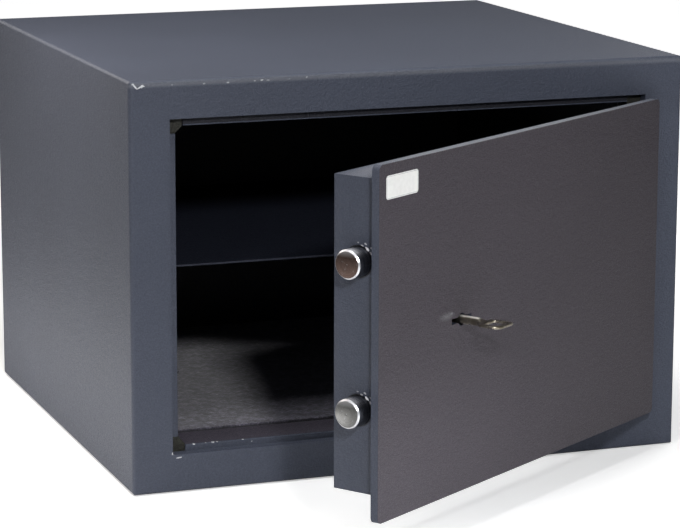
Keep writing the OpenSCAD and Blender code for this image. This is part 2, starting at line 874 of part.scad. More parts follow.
// leaf springs from the levers' blocks up to the case wall
module lever_springs() color(brassy) on_door()
    for (i = [0 : lever_n - 1])
        sheet_xz(lever_y + i * lever_pitch, lever_y + i * lever_pitch + lever_t)
            translate([key_x + lever_block_half, key_z])
                polygon([
                    [0, spring_low_z],
                    [spring_t, spring_low_z],
                    [spring_t, spring_bend_z],
                    [spring_reach, lock_h / 2 - lock_wall - spring_t],
                    [spring_reach, lock_h / 2 - lock_wall],
                    [spring_reach - spring_t, lock_h / 2 - lock_wall],
                    [0, spring_bend_z + spring_t]
                ]);

// posts that the bolt's tail slides between
module guide_posts() color(zinc) on_door()
    for (s = [-1, 1])
        rod_y(
            key_x + guide_post_x, mid_back_y, cover_in_y,
            key_z + s * (lock_bolt_half + guide_post_play + post_d / 2), post_d
        );

// ---------------------------------------------------------------- boltwork

// round bolt with a chamfered end and a tapped hole for its screw
module round_bolt(z) difference() {
    translate([bolt_tip_x, bolt_y, z])
        rotate([0, 90, 0])
            union() {
                cylinder(h = bolt_chamfer, d1 = bolt_d - 2 * bolt_chamfer, d2 = bolt_d);
                translate([0, 0, bolt_chamfer]) cylinder(h = bolt_len - bolt_chamfer, d = bolt_d);
            }
    rod_x(
        bolt_end_x - bolt_screw_in - bolt_screw_end_gap, bolt_end_x + over,
        bolt_y, z, bolt_screw_d + 2 * fit
    );
}

module upper_bolt() color(bright) on_door() round_bolt(bolt_zs[1]);
module lower_bolt() color(bright) on_door() round_bolt(bolt_zs[0]);

module bolt_bar() color(zinc) on_door() difference() {
    block(
        [bolt_end_x, bolt_y - bar_half, bolt_zs[0] - bar_over],
        [bar_end_x, bolt_y + bar_half, bolt_zs[1] + bar_over]
    );
    for (z = bolt_zs)
        rod_x(bolt_end_x - over, bar_end_x + over, bolt_y, z, bolt_screw_d + 2 * fit);
    for (s = [-1, 1])
        rod_x(
            bolt_end_x - over, bar_end_x + over,
            foot_screw_y, key_z + s * foot_screw_z, foot_screw_d + 2 * fit
        );
}

module bolt_screws() color(zinc) on_door()
    for (z = bolt_zs)
        union() {
            rod_x(bolt_end_x - bolt_screw_in, bar_end_x, bolt_y, z, bolt_screw_d);
            rod_x(bar_end_x, bar_end_x + bolt_screw_head_t, bolt_y, z, bolt_screw_head_d);
        }

// sliding plate with a foot on the bar, the yoke for the crank pin and the stump for the gates
module lock_bolt() color(zinc) on_door() difference() {
    union() {
        block(
            [bar_end_x, bolt_plate_y, key_z - lock_bolt_half],
            [key_x + guide_post_x, bolt_plate_y + bolt_plate_t, key_z + lock_bolt_half]
        );
        block(
            [bar_end_x, foot_front_y, key_z - lock_bolt_half],
            [bar_end_x + foot_plate_t, bolt_plate_y + bolt_plate_t, key_z + lock_bolt_half]
        );
        block(
            [key_x - crank_r - stump_d / 2 - stump_rim, bolt_plate_y, key_z + lock_bolt_half - over],
            [
                key_x - crank_r + stump_d / 2 + stump_rim,
                bolt_plate_y + bolt_plate_t,
                key_z + stump_z + stump_d / 2 + stump_rim
            ]
        );
        rod_y(key_x - crank_r, lever_y, bolt_plate_y + over, key_z + stump_z, stump_d);
    }
    yoke_half_w = crank_pin_d / 2 + yoke_play;
    yoke_half_h = crank_r + crank_pin_d / 2 + yoke_end_play;
    block(
        [key_x - crank_r - yoke_half_w, bolt_plate_y - over, key_z - yoke_half_h],
        [key_x - crank_r + yoke_half_w, bolt_plate_y + bolt_plate_t + over, key_z + yoke_half_h]
    );
    for (s = [-1, 1])
        rod_x(
            bar_end_x - over, bar_end_x + foot_plate_t + over,
            foot_screw_y, key_z + s * foot_screw_z, foot_screw_d + 2 * fit
        );
}

module lock_bolt_screws() color(zinc) on_door()
    for (s = [-1, 1])
        union() {
            rod_x(bolt_end_x, bar_end_x + foot_plate_t, foot_screw_y, key_z + s * foot_screw_z, foot_screw_d);
            rod_x(
                bar_end_x + foot_plate_t, bar_end_x + foot_plate_t + foot_head_t,
                foot_screw_y, key_z + s * foot_screw_z, foot_head_d
            );
        }

// ---------------------------------------------------------------- rotor and key

// slotted barrel, disc behind it and the crank pin that drives the bolt
module lock_rotor() color(brassy) on_door() difference() {
    union() {
        rod_y(key_x, lock_front_y + rotor_front_gap, mid_y, key_z, rotor_d);
        rod_y(key_x, mid_y, mid_back_y - disc_back_gap, key_z, disc_d);
        rod_y(
            key_x - crank_r, mid_back_y - over, bolt_plate_y + bolt_plate_t + crank_end,
            key_z, crank_pin_d
        );
    }
    block(
        [key_x - rotor_d, lock_front_y, key_z - bit_t / 2 - slot_gap],
        [key_x + rotor_d, bit_back_y + key_end_gap, key_z + bit_t / 2 + slot_gap]
    );
    rod_y(key_x, lock_front_y, key_tip_y + key_end_gap, key_z, shaft_d + 2 * slot_gap);
}

// one row of bit steps, the same on both sides so that the key works either way up
module key_bits() {
    step = (bit_back_y - bit_front_y) / len(bit_steps);
    for (i = [0 : len(bit_steps) - 1]) {
        half = bit_span / 2 - bit_steps[i];
        block(
            [key_x - half, bit_front_y + i * step, key_z - bit_t / 2],
            [key_x + half, bit_front_y + (i + 1) * step, key_z + bit_t / 2]
        );
    }
}

module key() color(brassy) on_door() union() {
    rod_y(key_x, bow_front_y - bow_root, key_tip_y, key_z, shaft_d);
    key_bits();
    translate([key_x, bow_front_y - bow_len / 2, key_z - bow_t / 2])
        linear_extrude(bow_t)
            difference() {
                rounded_rect(bow_w, bow_len, bow_r);
                rounded_rect(bow_w - 2 * bow_bar, bow_len - 2 * bow_bar, bow_r - bow_bar);
            }
}

outer_shell();
back_panel();
stop_left();
stop_right();
stop_top();
stop_sill();
corner_gussets();
liner();
left_filling();
right_filling();
roof_filling();
floor_filling();
back_filling();
base_sleeves();
back_sleeves();
shelf();
shelf_rail_left();
shelf_rail_right();
floor_mat();
upper_hinge_ears();
lower_hinge_ears();
upper_hinge_pin();
lower_hinge_pin();
hinge_washers();
door_plate();
door_case();
case_cover();
cover_screws();
upper_hinge_arm();
lower_hinge_arm();
upper_bolt_guide();
lower_bolt_guide();
lock_case();
lock_mid_plate();
lock_cover();
lock_spacers();
lock_screws();
lock_levers();
lever_post();
lever_springs();
guide_posts();
upper_bolt();
lower_bolt();
bolt_bar();
bolt_screws();
lock_bolt();
lock_bolt_screws();
lock_rotor();
key();
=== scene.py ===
import json
import math

import bmesh
import bpy
import mathutils
from mathutils import Matrix, Vector


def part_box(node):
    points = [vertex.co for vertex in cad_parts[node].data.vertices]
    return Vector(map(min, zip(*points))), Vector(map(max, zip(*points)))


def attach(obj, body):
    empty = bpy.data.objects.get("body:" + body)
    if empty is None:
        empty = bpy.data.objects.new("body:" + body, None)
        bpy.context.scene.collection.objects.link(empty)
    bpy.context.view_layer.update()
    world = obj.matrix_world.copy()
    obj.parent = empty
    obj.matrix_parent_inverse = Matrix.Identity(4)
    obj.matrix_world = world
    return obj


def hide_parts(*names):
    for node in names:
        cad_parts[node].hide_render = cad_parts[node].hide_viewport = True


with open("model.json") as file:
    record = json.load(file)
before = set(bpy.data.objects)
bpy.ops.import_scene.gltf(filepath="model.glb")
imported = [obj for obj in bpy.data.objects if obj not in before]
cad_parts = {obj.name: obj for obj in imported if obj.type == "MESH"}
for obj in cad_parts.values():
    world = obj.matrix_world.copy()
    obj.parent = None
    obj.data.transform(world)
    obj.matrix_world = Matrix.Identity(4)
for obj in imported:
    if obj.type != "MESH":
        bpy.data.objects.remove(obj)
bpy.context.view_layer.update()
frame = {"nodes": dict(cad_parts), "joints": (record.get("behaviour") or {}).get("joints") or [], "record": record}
nodes = frame["nodes"]
bodyOf = {n: body for body, members in frame["record"]["behaviour"]["bodies"].items() for n in members}
print("frame loaded,", len(nodes), "nodes")

mm = 0.001

# the door rests part open; its joint says how far, and where the axis stands
hinge = next(j for j in frame["joints"] if j["name"] == "door_hinge")
pivot = Vector(hinge["pos_m"])
doorAngle = -math.radians(hinge["range_deg"][0])
toOpen = Matrix.Translation(pivot) @ Matrix.Rotation(doorAngle, 4, "Z") @ Matrix.Translation(-pivot)
toShut = toOpen.inverted()


def corners(points):
    points = list(points)
    return (Vector(min(p[i] for p in points) for i in range(3)),
            Vector(max(p[i] for p in points) for i in range(3)))


def shutBox(nodeName):
    # a door node's corners, with the door shut
    return corners(toShut @ v.co for v in nodes[nodeName].data.vertices)


# the camera stands where the photograph was taken from
cameraSetup = {
    "place": (-0.7582, -2.10095, 0.58024),
    "yaw": 20.188,       # degrees, to the right of +Y
    "pitch": -11.703,
    "roll": 0.142,
    "lens": 151.447,
    "sensor": 36.0,
    "near": 0.05,
}


def makeCamera(setup):
    data = bpy.data.cameras.new("camera")
    data.lens = setup["lens"]
    data.sensor_width = setup["sensor"]
    data.clip_start = setup["near"]
    camera = bpy.data.objects.new("camera", data)
    bpy.context.scene.collection.objects.link(camera)
    camera.matrix_world = (
        Matrix.Translation(setup["place"])
        @ Matrix.Rotation(-math.radians(setup["yaw"]), 4, "Z")
        @ Matrix.Rotation(math.radians(90 + setup["pitch"]), 4, "X")
        @ Matrix.Rotation(math.radians(setup["roll"]), 4, "Z")
    )
    bpy.context.scene.camera = camera


makeCamera(cameraSetup)
print("camera placed")


# helpers for materials
def rgb(r, g, b):
    # a colour as seen on screen, turned into the shader's linear values
    def one(c):
        c = c / 255
        return c / 12.92 if c <= 0.04045 else ((c + 0.055) / 1.055) ** 2.4
    return (one(r), one(g), one(b), 1)


def feed(tree, node, values):
    # sets inputs, by name or number: an output is wired, anything else is a plain value
    for key, value in values.items():
        if isinstance(value, bpy.types.NodeSocket):
            tree.links.new(value, node.inputs[key])
        else:
            node.inputs[key].default_value = value


def startMaterial(name):
    mat = bpy.data.materials.new(name)
    mat.use_nodes = True
    tree = mat.node_tree
    place = tree.nodes.new("ShaderNodeTexCoord").outputs["Object"]
    return mat, tree, tree.nodes["Principled BSDF"], place


def local(tree, place, origin=(0, 0, 0), turn=(0, 0, 0), size=(1, 1, 1)):
    # coordinates counted from origin, turned to a piece's own directions
    node = tree.nodes.new("ShaderNodeMapping")
    node.vector_type = "TEXTURE"
    feed(tree, node, {"Vector": place, "Location": origin, "Rotation": turn, "Scale": size})
    return node.outputs["Vector"]


def shutPlace(tree, place, origin=toOpen.translation):
    # a door piece's coordinates as they'd be with the door shut, or counted from a point on the door
    return local(tree, place, origin, (0, 0, doorAngle))


noiseSpan = (0.3, 0.7)       # most of a noise's values lie in here


def noise(tree, place, scale, detail=3.0, roughness=0.55):
    node = tree.nodes.new("ShaderNodeTexNoise")
    feed(tree, node, {"Vector": place, "Scale": scale, "Detail": detail, "Roughness": roughness})
    return node.outputs["Fac"]


def lineNoise(tree, along, scale, detail=4.0):
    node = tree.nodes.new("ShaderNodeTexNoise")
    node.noise_dimensions = "1D"
    feed(tree, node, {"W": along, "Scale": scale, "Detail": detail})
    return node.outputs["Fac"]


def ramp(tree, value, stops):
    node = tree.nodes.new("ShaderNodeValToRGB")
    band = node.color_ramp
    band.elements[0].position, band.elements[0].color = stops[0]
    band.elements[1].position, band.elements[1].color = stops[-1]
    for position, colour in stops[1:-1]:
        band.elements.new(position).color = colour
    feed(tree, node, {"Fac": value})
    return node.outputs["Color"]


def mapped(tree, value, low, high, toLow, toHigh):
    node = tree.nodes.new("ShaderNodeMapRange")
    feed(tree, node, {"Value": value, "From Min": low, "From Max": high, "To Min": toLow, "To Max": toHigh})
    return node.outputs["Result"]


def maths(tree, how, *values):
    node = tree.nodes.new("ShaderNodeMath")
    node.operation = how
    feed(tree, node, dict(enumerate(values)))
    return node.outputs["Value"]


def mixed(tree, factor, a, b, how="MIX"):
    node = tree.nodes.new("ShaderNodeMix")
    node.data_type = "RGBA"
    node.blend_type = how
    feed(tree, node, {0: factor, 6: a, 7: b})       # the colour sockets share their names with others
    return node.outputs[2]


def bumped(tree, height, strength, distance):
    node = tree.nodes.new("ShaderNodeBump")
    feed(tree, node, {"Height": height, "Strength": strength, "Distance": distance})
    return node.outputs["Normal"]


def length(tree, vector):
    node = tree.nodes.new("ShaderNodeVectorMath")
    node.operation = "LENGTH"
    feed(tree, node, {0: vector})
    return node.outputs["Value"]


def flatLength(tree, a, b):
    squares = maths(tree, "ADD", maths(tree, "MULTIPLY", a, a), maths(tree, "MULTIPLY", b, b))
    return maths(tree, "SQRT", squares)


def opposite(tree, value):
    return maths(tree, "SUBTRACT", 1.0, value)


def split(tree, place):
    node = tree.nodes.new("ShaderNodeSeparateXYZ")
    feed(tree, node, {0: place})
    return node.outputs


markEdge = {"scale": 1400, "ragged": 1.1}       # how fine and how deep a mark's torn edge is


def flecks(tree, place, marks):
    # how strongly a spot is marked; a mark is a thin ellipsoid:
    # centre, turn, half sizes, strength, soft part of the radius
    wobble = maths(tree, "SUBTRACT", noise(tree, place, markEdge["scale"]), 0.5)
    wobble = maths(tree, "MULTIPLY", wobble, markEdge["ragged"])
    total = None
    for centre, turn, half, strength, soft in marks:
        away = maths(tree, "ADD", length(tree, local(tree, place, centre, turn, half)), wobble)
        inside = mapped(tree, away, 1 - soft, 1.0, strength, 0.0)
        total = inside if total is None else maths(tree, "MAXIMUM", total, inside)
    return total


# powder coat, outside, and darker kinds of it, most of them painted shade
coat = {
    "dark": rgb(64, 69, 83), "middle": rgb(70, 75, 89), "light": rgb(78, 83, 97),
    "stops": (0.34, 0.52, 0.72),                             # the grain's values that have these tones
    "grain": 950, "grainDetail": 4, "grainRough": 0.6,       # powder grains per metre
    "cloud": 7, "cloudDetail": 2, "cloudDepth": 0.05,
    "roughness": (0.42, 0.58), "shine": 0.35,
    "peel": 0.28, "peelDetail": 2, "peelHeight": 0.8,        # the coat's slow waves, as shares of the grain
    "bump": 0.9, "bumpHeight": 0.6 * mm,
    "chip": rgb(212, 214, 218), "chipAndHighlightSmooth": 0.35,
}
# painted shade: the inside is the outside paint, given these near-black tones where little light reaches; the
# shelf rails and the hinge ears and arms take them too
insideShadeCoat = dict(coat, dark=rgb(24, 24, 28), middle=rgb(32, 32, 37), light=rgb(44, 44, 50))
# painted shade: the shelf is the outside paint, darkened and blued as it looks in the dim inside
shelfShadeCoat = dict(coat, dark=rgb(36, 40, 54), middle=rgb(46, 50, 64), light=rgb(58, 62, 76))
gussetCoat = dict(coat, dark=rgb(32, 32, 28), middle=rgb(44, 44, 38), light=rgb(60, 59, 52))
# painted shadow: the frame's shadow on the top stop is painted into its coat; below it the lower edge keeps a
# plain, slightly darker coat, where light reaches
topStopShadowCoat = dict(coat, dark=rgb(22, 23, 31), middle=rgb(28, 29, 38), light=rgb(36, 37, 47))
lipCoat = dict(coat, middle=coat["dark"])
# painted shade with a warm tint on the door plate's front face; it is the same paint as the frame
doorShadeCoat = dict(coat, dark=rgb(62, 57, 64), middle=rgb(68, 63, 70), light=rgb(77, 71, 79))
caseCoat = dict(coat, chip=rgb(238, 238, 242))
# painted shade in the gaps round the bolt holes and in the fold where the case meets the plate
holeShadeCoat = dict(coat, dark=rgb(24, 25, 30), middle=rgb(30, 31, 36), light=rgb(38, 39, 45))
# painted light on the liner's floor by the opening, lighter and warmer where light and a reddish reflection fall
litStripCoat = dict(coat, dark=rgb(64, 60, 70), middle=rgb(78, 74, 84), light=rgb(92, 88, 98))


def powderCoat(name, look, marks=(), other=None, where=None):
    # other: a second tone, here always part of a painted shade or painted light, shown where the given function of
    # the tree and place is 1
    mat, tree, shader, place = startMaterial(name)
    grain = noise(tree, place, look["grain"], look["grainDetail"], look["grainRough"])

    def toneOf(one):
        return ramp(tree, grain, list(zip(one["stops"], (one["dark"], one["middle"], one["light"]))))

    tone = toneOf(look)
    if other:
        tone = mixed(tree, where(tree, place), tone, toneOf(other))
    cloud = mapped(tree, noise(tree, place, look["cloud"], look["cloudDetail"]), *noiseSpan,
                   1 - look["cloudDepth"], 1 + look["cloudDepth"])
    tone = mixed(tree, 1.0, tone, cloud, "MULTIPLY")
    rough = mapped(tree, grain, *noiseSpan, *reversed(look["roughness"]))
    if marks:
        # one pale tone for the chips, the smudges and the painted highlights along edges
        chipsAndHighlights = flecks(tree, place, marks)
        tone = mixed(tree, chipsAndHighlights, tone, look["chip"])
        smoother = maths(tree, "MULTIPLY", chipsAndHighlights, look["chipAndHighlightSmooth"])
        rough = maths(tree, "MULTIPLY", rough, opposite(tree, smoother))
    waves = noise(tree, place, look["grain"] * look["peel"], look["peelDetail"])
    height = maths(tree, "ADD", grain, maths(tree, "MULTIPLY", waves, look["peelHeight"]))
    feed(tree, shader, {
        "Base Color": tone, "Roughness": rough, "Specular IOR Level": look["shine"],
        "Normal": bumped(tree, height, look["bump"], look["bumpHeight"]),
    })
    return mat


# plated metals, with faint blotches and fine scratches
zincLook = {
    "light": rgb(196, 198, 200), "dark": rgb(150, 152, 156), "stops": (0.35, 0.65),
    "blotch": 260, "blotchDetail": 4, "blotchRough": 0.6,
    "roughness": (0.26, 0.4),
    "scratch": 2600, "scratchDetail": 2, "scratchTurn": (0.3, 0.5, 0.9), "scratchStretch": (1, 0.04, 1),
    "scratched": 0.12, "scratchHeight": 0.05 * mm,
    "paleHighlight": rgb(246, 243, 236), "paleHighlightDull": 0.25,
}
brassLook = dict(zincLook, light=rgb(206, 178, 112), dark=rgb(160, 132, 76), roughness=(0.24, 0.4))
nickelLook = dict(zincLook, light=rgb(196, 190, 176), dark=rgb(128, 121, 104), roughness=(0.24, 0.34),
                  blotch=90, scratched=0.03)


def plainMetal(name, look, paintedHighlight=None):
    # the last argument, if given: a function of the tree and place, 1 where a painted highlight lies, pale and
    # dull
    mat, tree, shader, place = startMaterial(name)
    blotch = noise(tree, place, look["blotch"], look["blotchDetail"], look["blotchRough"])
    colour = ramp(tree, blotch, list(zip(look["stops"], (look["dark"], look["light"]))))
    rough = mapped(tree, blotch, *noiseSpan, *reversed(look["roughness"]))
    if paintedHighlight:
        paleHighlight = paintedHighlight(tree, place)
        colour = mixed(tree, paleHighlight, colour, look["paleHighlight"])
        rough = maths(tree, "ADD", rough, maths(tree, "MULTIPLY", paleHighlight, look["paleHighlightDull"]))
    along = local(tree, place, turn=look["scratchTurn"], size=look["scratchStretch"])
    scratch = noise(tree, along, look["scratch"], look["scratchDetail"])
    feed(tree, shader, {
        "Base Color": colour, "Roughness": rough, "Metallic": 1.0,
        "Normal": bumped(tree, scratch, look["scratched"], look["scratchHeight"]),
    })
    return mat


boardLook = {
    "tones": [(0.3, rgb(170, 164, 148)), (0.55, rgb(205, 201, 190)), (0.75, rgb(222, 220, 212))],
    "chips": 240, "chipDetail": 5, "chipRough": 0.65, "chipStretch": (2, 1, 0.6),
    "roughness": 0.9, "bump": 0.5, "bumpHeight": 0.4 * mm,
}


def pressedBoard(name, look):
    mat, tree, shader, place = startMaterial(name)
    along = local(tree, place, size=look["chipStretch"])
    chips = noise(tree, along, look["chips"], look["chipDetail"], look["chipRough"])
    feed(tree, shader, {
        "Base Color": ramp(tree, chips, look["tones"]), "Roughness": look["roughness"],
        "Normal": bumped(tree, chips, look["bump"], look["bumpHeight"]),
    })
    return mat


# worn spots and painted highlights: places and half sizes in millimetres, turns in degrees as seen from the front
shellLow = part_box("outer_shell")[0]
frontFace = round(shellLow.y / mm, 3)       # of the body, and of the shut door's plate
crisp = 0.05                                # the soft part of a sharp chip's radius


def onBody(x, y, z, long, wide, turn=0, strength=1.0, soft=crisp, deep=4):
    # counted from the body's left side, its front face and its foot
    return ((shellLow.x + x * mm, shellLow.y + y * mm, z * mm), (0, -math.radians(turn), 0),
            (long * mm, deep * mm, wide * mm), strength, soft)


def onDoor(x, y, z, long, wide, turn=0, strength=1.0, deep=1.2, soft=crisp):
    # counted as the shut door stands
    return (toOpen @ Vector((x * mm, y * mm, z * mm)), (0, -math.radians(turn), doorAngle),
            (long * mm, deep * mm, wide * mm), strength, soft)


boltHoles = {"x": -177, "y": -174.6, "z": (103.75, 203.75), "radius": 10.4, "markDeep": 3}


def roundHole(z, angle, away, long, wide, strength):
    # beside a bolt's hole, at an angle counted up from the door plate
    turn = math.radians(angle)
    out = Vector((0, -math.cos(turn), math.sin(turn)))
    edge = Vector((0, math.sin(turn), math.cos(turn)))
    centre = Vector((boltHoles["x"], boltHoles["y"], z)) + out * (boltHoles["radius"] + away)
    axes = Matrix((edge, out, edge.cross(out))).transposed()
    return (toOpen @ (centre * mm), tuple((toOpen.to_3x3() @ axes).to_euler()),
            (long * mm, wide * mm, boltHoles["markDeep"] * mm), strength, crisp)


# each row gives its numbers in the order that onBody, onDoor or roundHole takes them;
# these are chips at the upper left corner and along the upper front edge, then two at the lower left, then a
# painted highlight along the whole upper front edge
shellMarks = [onBody(*row) for row in (
    (4.9, 0.3, 296.2, 2.6, 0.55, -50), (8.6, 0.3, 295.7, 2.7, 0.6, 27), (10.6, 0.3, 296.6, 1.5, 0.5, -20),
    (10.3, 0.3, 296.4, 1.4, 0.45, 70), (3.4, 0.4, 297.9, 1.0, 0.5, 10, 0.8),
    (31.9, 0.3, 296.4, 0.8, 0.4, 0, 0.35), (55.4, 0.3, 296.2, 1.1, 0.5, 10, 0.5),
    (73.1, 0.3, 296.2, 0.9, 0.5, 0, 0.6), (93.0, 0.3, 296.5, 0.8, 0.5, 0, 0.5),
    (98.4, 0.3, 296.8, 1.1, 0.5, 8, 0.75), (103, 0.3, 296.5, 1.2, 0.4, 0, 0.45),
    (119, 0.3, 296.6, 0.8, 0.4, 0, 0.3), (132, 0.4, 297.3, 0.8, 0.6, 60, 0.5),
    (30.3, 0.3, 29.0, 1.3, 1.1), (34.4, 0.1, 25.7, 2.2, 0.5, 4, 0.8),
    (215, 0, 296.9, 900, 2.4, 0, 0.13, 0.9),         # a painted highlight, pale all along the upper front edge
)]
sillMarks = [onBody(*row) for row in (
    (48.0, 7, 32.8, 0.9, 0.6, 0, 0.8), (62.4, 7, 33.0, 1.1, 0.6), (65.6, 7, 33.0, 0.6, 0.4, 0, 0.7),
    (85.3, 7, 33.2, 1.0, 0.5, 0, 0.8), (57, 7, 33.1, 0.5, 0.4, 0, 0.5), (92, 7, 31.0, 0.6, 0.4, 0, 0.6),
)]
plateMarks = [onDoor(*row) for row in (
    (-103, frontFace, 156.0, 11.0, 3.4, 0, 0.18, 3, 1.0), (-97, frontFace, 157.0, 2.6, 1.6, 0, 0.28, 3, 0.9),
    (-0.5, frontFace + 3, 270, 186, 0.5, 0, 0.2, 6),         # a painted highlight along the plate's top edge
)]
holeMarks = (
    (52, 0.9, 1.9, 0.9, 1.0), (76, 0.9, 1.3, 0.5, 0.6), (34, 1.2, 1.1, 0.7, 0.6),
    (66, 3.0, 1.0, 0.6, 0.6), (45, 3.6, 0.9, 0.6, 0.5), (92, 2.2, 0.8, 0.5, 0.4),
)
caseMarks = [roundHole(z, *row) for z in boltHoles["z"] for row in holeMarks]
caseMarks.append(onDoor(-2, -172, 260, 186, 0.5, 0, 0.1, 24))         # a faint painted highlight along the case's top edge

# where a piece's second tone shows, as painted shade or painted light, in millimetres unless noted
coatEdges = {
    "plateFace": frontFace + 0.25,
    "lip": 1.0,                                        # up from the top stop's edge: the lit strip under its painted shadow
    "stripTop": 34, "stripFade": (-150, -135),         # the liner's floor in front of the mat, where its painted light lies
    # painted shade in the case's fold by the plate and in a ring round each bolt hole
    "foldShade": (-189, -185.5), "foldShadeStrength": 0.55,
    "holeShadeRing": (0.3, 1.1),                           # out from a bolt hole's edge
    "shaftTop": (0.68, 0.86),                          # shares of the key's shaft radius, where its painted highlight lies
}


# the door plate's front face, which takes the painted shade coat
def atPlateFace(tree, place):
    return maths(tree, "LESS_THAN", split(tree, shutPlace(tree, place))[1], coatEdges["plateFace"] * mm)


# the top stop's lower edge, lit below its painted shadow
def atLipEdge(tree, place):
    return maths(tree, "LESS_THAN", split(tree, place)[2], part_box("stop_top")[0].z + coatEdges["lip"] * mm)


def atFloorStrip(tree, place):
    # painted light: the liner's floor near the opening is lighter and warmer, fading towards the back into the
    # liner's painted shade
    y, z = split(tree, place)[1:]
    low = maths(tree, "LESS_THAN", z, coatEdges["stripTop"] * mm)
    front, back = coatEdges["stripFade"]
    return maths(tree, "MULTIPLY", low, mapped(tree, y, front * mm, back * mm, 1.0, 0.0))


def shadeByHole(tree, place):
    # painted shade in a ring round each bolt's hole and along the fold by the plate
    y, z = split(tree, shutPlace(tree, place))[1:]
    front, back = coatEdges["foldShade"]
    total = mapped(tree, y, front * mm, back * mm, coatEdges["foldShadeStrength"], 0.0)
    near, far = (boltHoles["radius"] + out for out in coatEdges["holeShadeRing"])
    for holeZ in boltHoles["z"]:
        u = maths(tree, "SUBTRACT", y, boltHoles["y"] * mm)
        v = maths(tree, "SUBTRACT", z, holeZ * mm)
        ring = mapped(tree, flatLength(tree, u, v), near * mm, far * mm, 1.0, 0.0)
        total = maths(tree, "MAXIMUM", total, ring)
    return total


def atShaftTop(tree, place):
    # a painted highlight along the top of the key's shaft
    low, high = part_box("key")
    middle, radius = (low.z + high.z) / 2, (high.z - low.z) / 2
    near, far = (middle + share * radius for share in coatEdges["shaftTop"])
    return mapped(tree, split(tree, place)[2], near, far, 0.0, 1.0)


finishes = {
    "shell": powderCoat("shellPaint", coat, shellMarks),
    "paint": powderCoat("paint", coat),
    "sill": powderCoat("sillPaint", coat, sillMarks),
    "inside": powderCoat("insideShadePaint", insideShadeCoat),
    "liner": powderCoat("linerPaint", insideShadeCoat, (), litStripCoat, atFloorStrip),
    "shelf": powderCoat("shelfPaint", shelfShadeCoat),
    "topStop": powderCoat("topStopShadowPaint", topStopShadowCoat, (), lipCoat, atLipEdge),
    "plate": powderCoat("platePaint", coat, plateMarks, doorShadeCoat, atPlateFace),
    "case": powderCoat("casePaint", caseCoat, caseMarks, holeShadeCoat, shadeByHole),
    "gusset": powderCoat("gussetPaint", gussetCoat),
    "zinc": plainMetal("zincPlate", zincLook),
    "brass": plainMetal("brass", brassLook),
    "nickel": plainMetal("nickelShaftHighlight", nickelLook, atShaftTop),
    "board": pressedBoard("pressedBoard", boardLook),
}
print("finishes made:", len(finishes))


# helpers for pieces
def link(mesh, name):
    obj = bpy.data.objects.new(name, mesh)
    bpy.context.scene.collection.objects.link(obj)
    return obj


def standFor(obj, nodeName):
    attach(obj, bodyOf[nodeName])
    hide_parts(nodeName)


def settle(obj, nodeName, finish):
    obj.data.materials.clear()
    obj.data.materials.append(finish)
    standFor(obj, nodeName)


def meshOf(work, name):
    mesh = bpy.data.meshes.new(name)
    work.to_mesh(mesh)
    work.free()
    return mesh


def sharpen(mesh, degrees):
    mesh.shade_smooth()
    mesh.set_sharp_from_angle(angle=math.radians(degrees))


def camel(name):
    head, *rest = name.split("_")
    return head + "".join(word.capitalize() for word in rest)


# pieces that keep their shape and get real edges
edgeLook = {"mergeWithin": 0.002 * mm, "flatWithin": 0.4, "segments": 3, "angle": 35, "flatWeight": 100}


def copyOf(nodeName, look=edgeLook):
    # the node's loose triangles, merged, with its flat faces made whole
    work = bmesh.new()
    work.from_mesh(nodes[nodeName].data)
    bmesh.ops.remove_doubles(work, verts=work.verts, dist=look["mergeWithin"])
    bmesh.ops.dissolve_limit(work, angle_limit=math.radians(look["flatWithin"]),
                             verts=work.verts, edges=work.edges)
    return work


def edged(nodeName, width, finish, look=edgeLook):
    obj = link(meshOf(copyOf(nodeName), camel(nodeName)), camel(nodeName))
    sharpen(obj.data, look["angle"])
    edge = obj.modifiers.new("edges", "BEVEL")
    edge.width = width
    edge.segments = look["segments"]
    edge.limit_method = "ANGLE"
    edge.angle_limit = math.radians(look["angle"])
    # flat faces shade flat right up to their corners
    flat = obj.modifiers.new("flatFaces", "WEIGHTED_NORMAL")
    flat.weight = look["flatWeight"]
    flat.keep_sharp = True
    settle(obj, nodeName, finish)


# node: edge radius in millimetres, finish
edgedPieces = {
    "outer_shell": (0.7, "shell"), "back_panel": (0.4, "paint"),
    "stop_left": (0.35, "paint"), "stop_right": (0.35, "paint"),
    "stop_top": (0.35, "topStop"), "stop_sill": (0.35, "sill"),
    "corner_gussets": (0.25, "gusset"), "liner": (0.4, "liner"), "shelf": (0.35, "shelf"),
    "shelf_rail_left": (0.3, "inside"), "shelf_rail_right": (0.3, "inside"),
    "left_filling": (1.0, "board"), "right_filling": (1.0, "board"), "roof_filling": (1.0, "board"),
    "floor_filling": (1.0, "board"), "back_filling": (1.0, "board"),
    "base_sleeves": (0.25, "zinc"), "back_sleeves": (0.25, "zinc"),
    "upper_hinge_ears": (0.4, "inside"), "lower_hinge_ears": (0.4, "inside"),
    "upper_hinge_pin": (0.4, "zinc"), "lower_hinge_pin": (0.4, "zinc"), "hinge_washers": (0.12, "brass"),
    "door_plate": (0.9, "plate"), "door_case": (0.5, "case"), "case_cover": (0.45, "paint"),
    "upper_hinge_arm": (0.5, "inside"), "lower_hinge_arm": (0.5, "inside"),
    "upper_bolt_guide": (0.5, "zinc"), "lower_bolt_guide": (0.5, "zinc"),
    "lock_case": (0.35, "zinc"), "lock_mid_plate": (0.25, "zinc"), "lock_cover": (0.3, "zinc"),
    "lock_spacers": (0.2, "zinc"), "lock_levers": (0.15, "brass"), "lever_post": (0.3, "zinc"),
    "lever_springs": (0.08, "brass"), "guide_posts": (0.3, "zinc"), "bolt_bar": (0.6, "zinc"),
    "lock_bolt": (0.3, "zinc"), "lock_rotor": (0.25, "brass"),
}
for nodeName, (radius, finish) in edgedPieces.items():
    edged(nodeName, radius * mm, finishes[finish])
print("edged pieces:", len(edgedPieces))


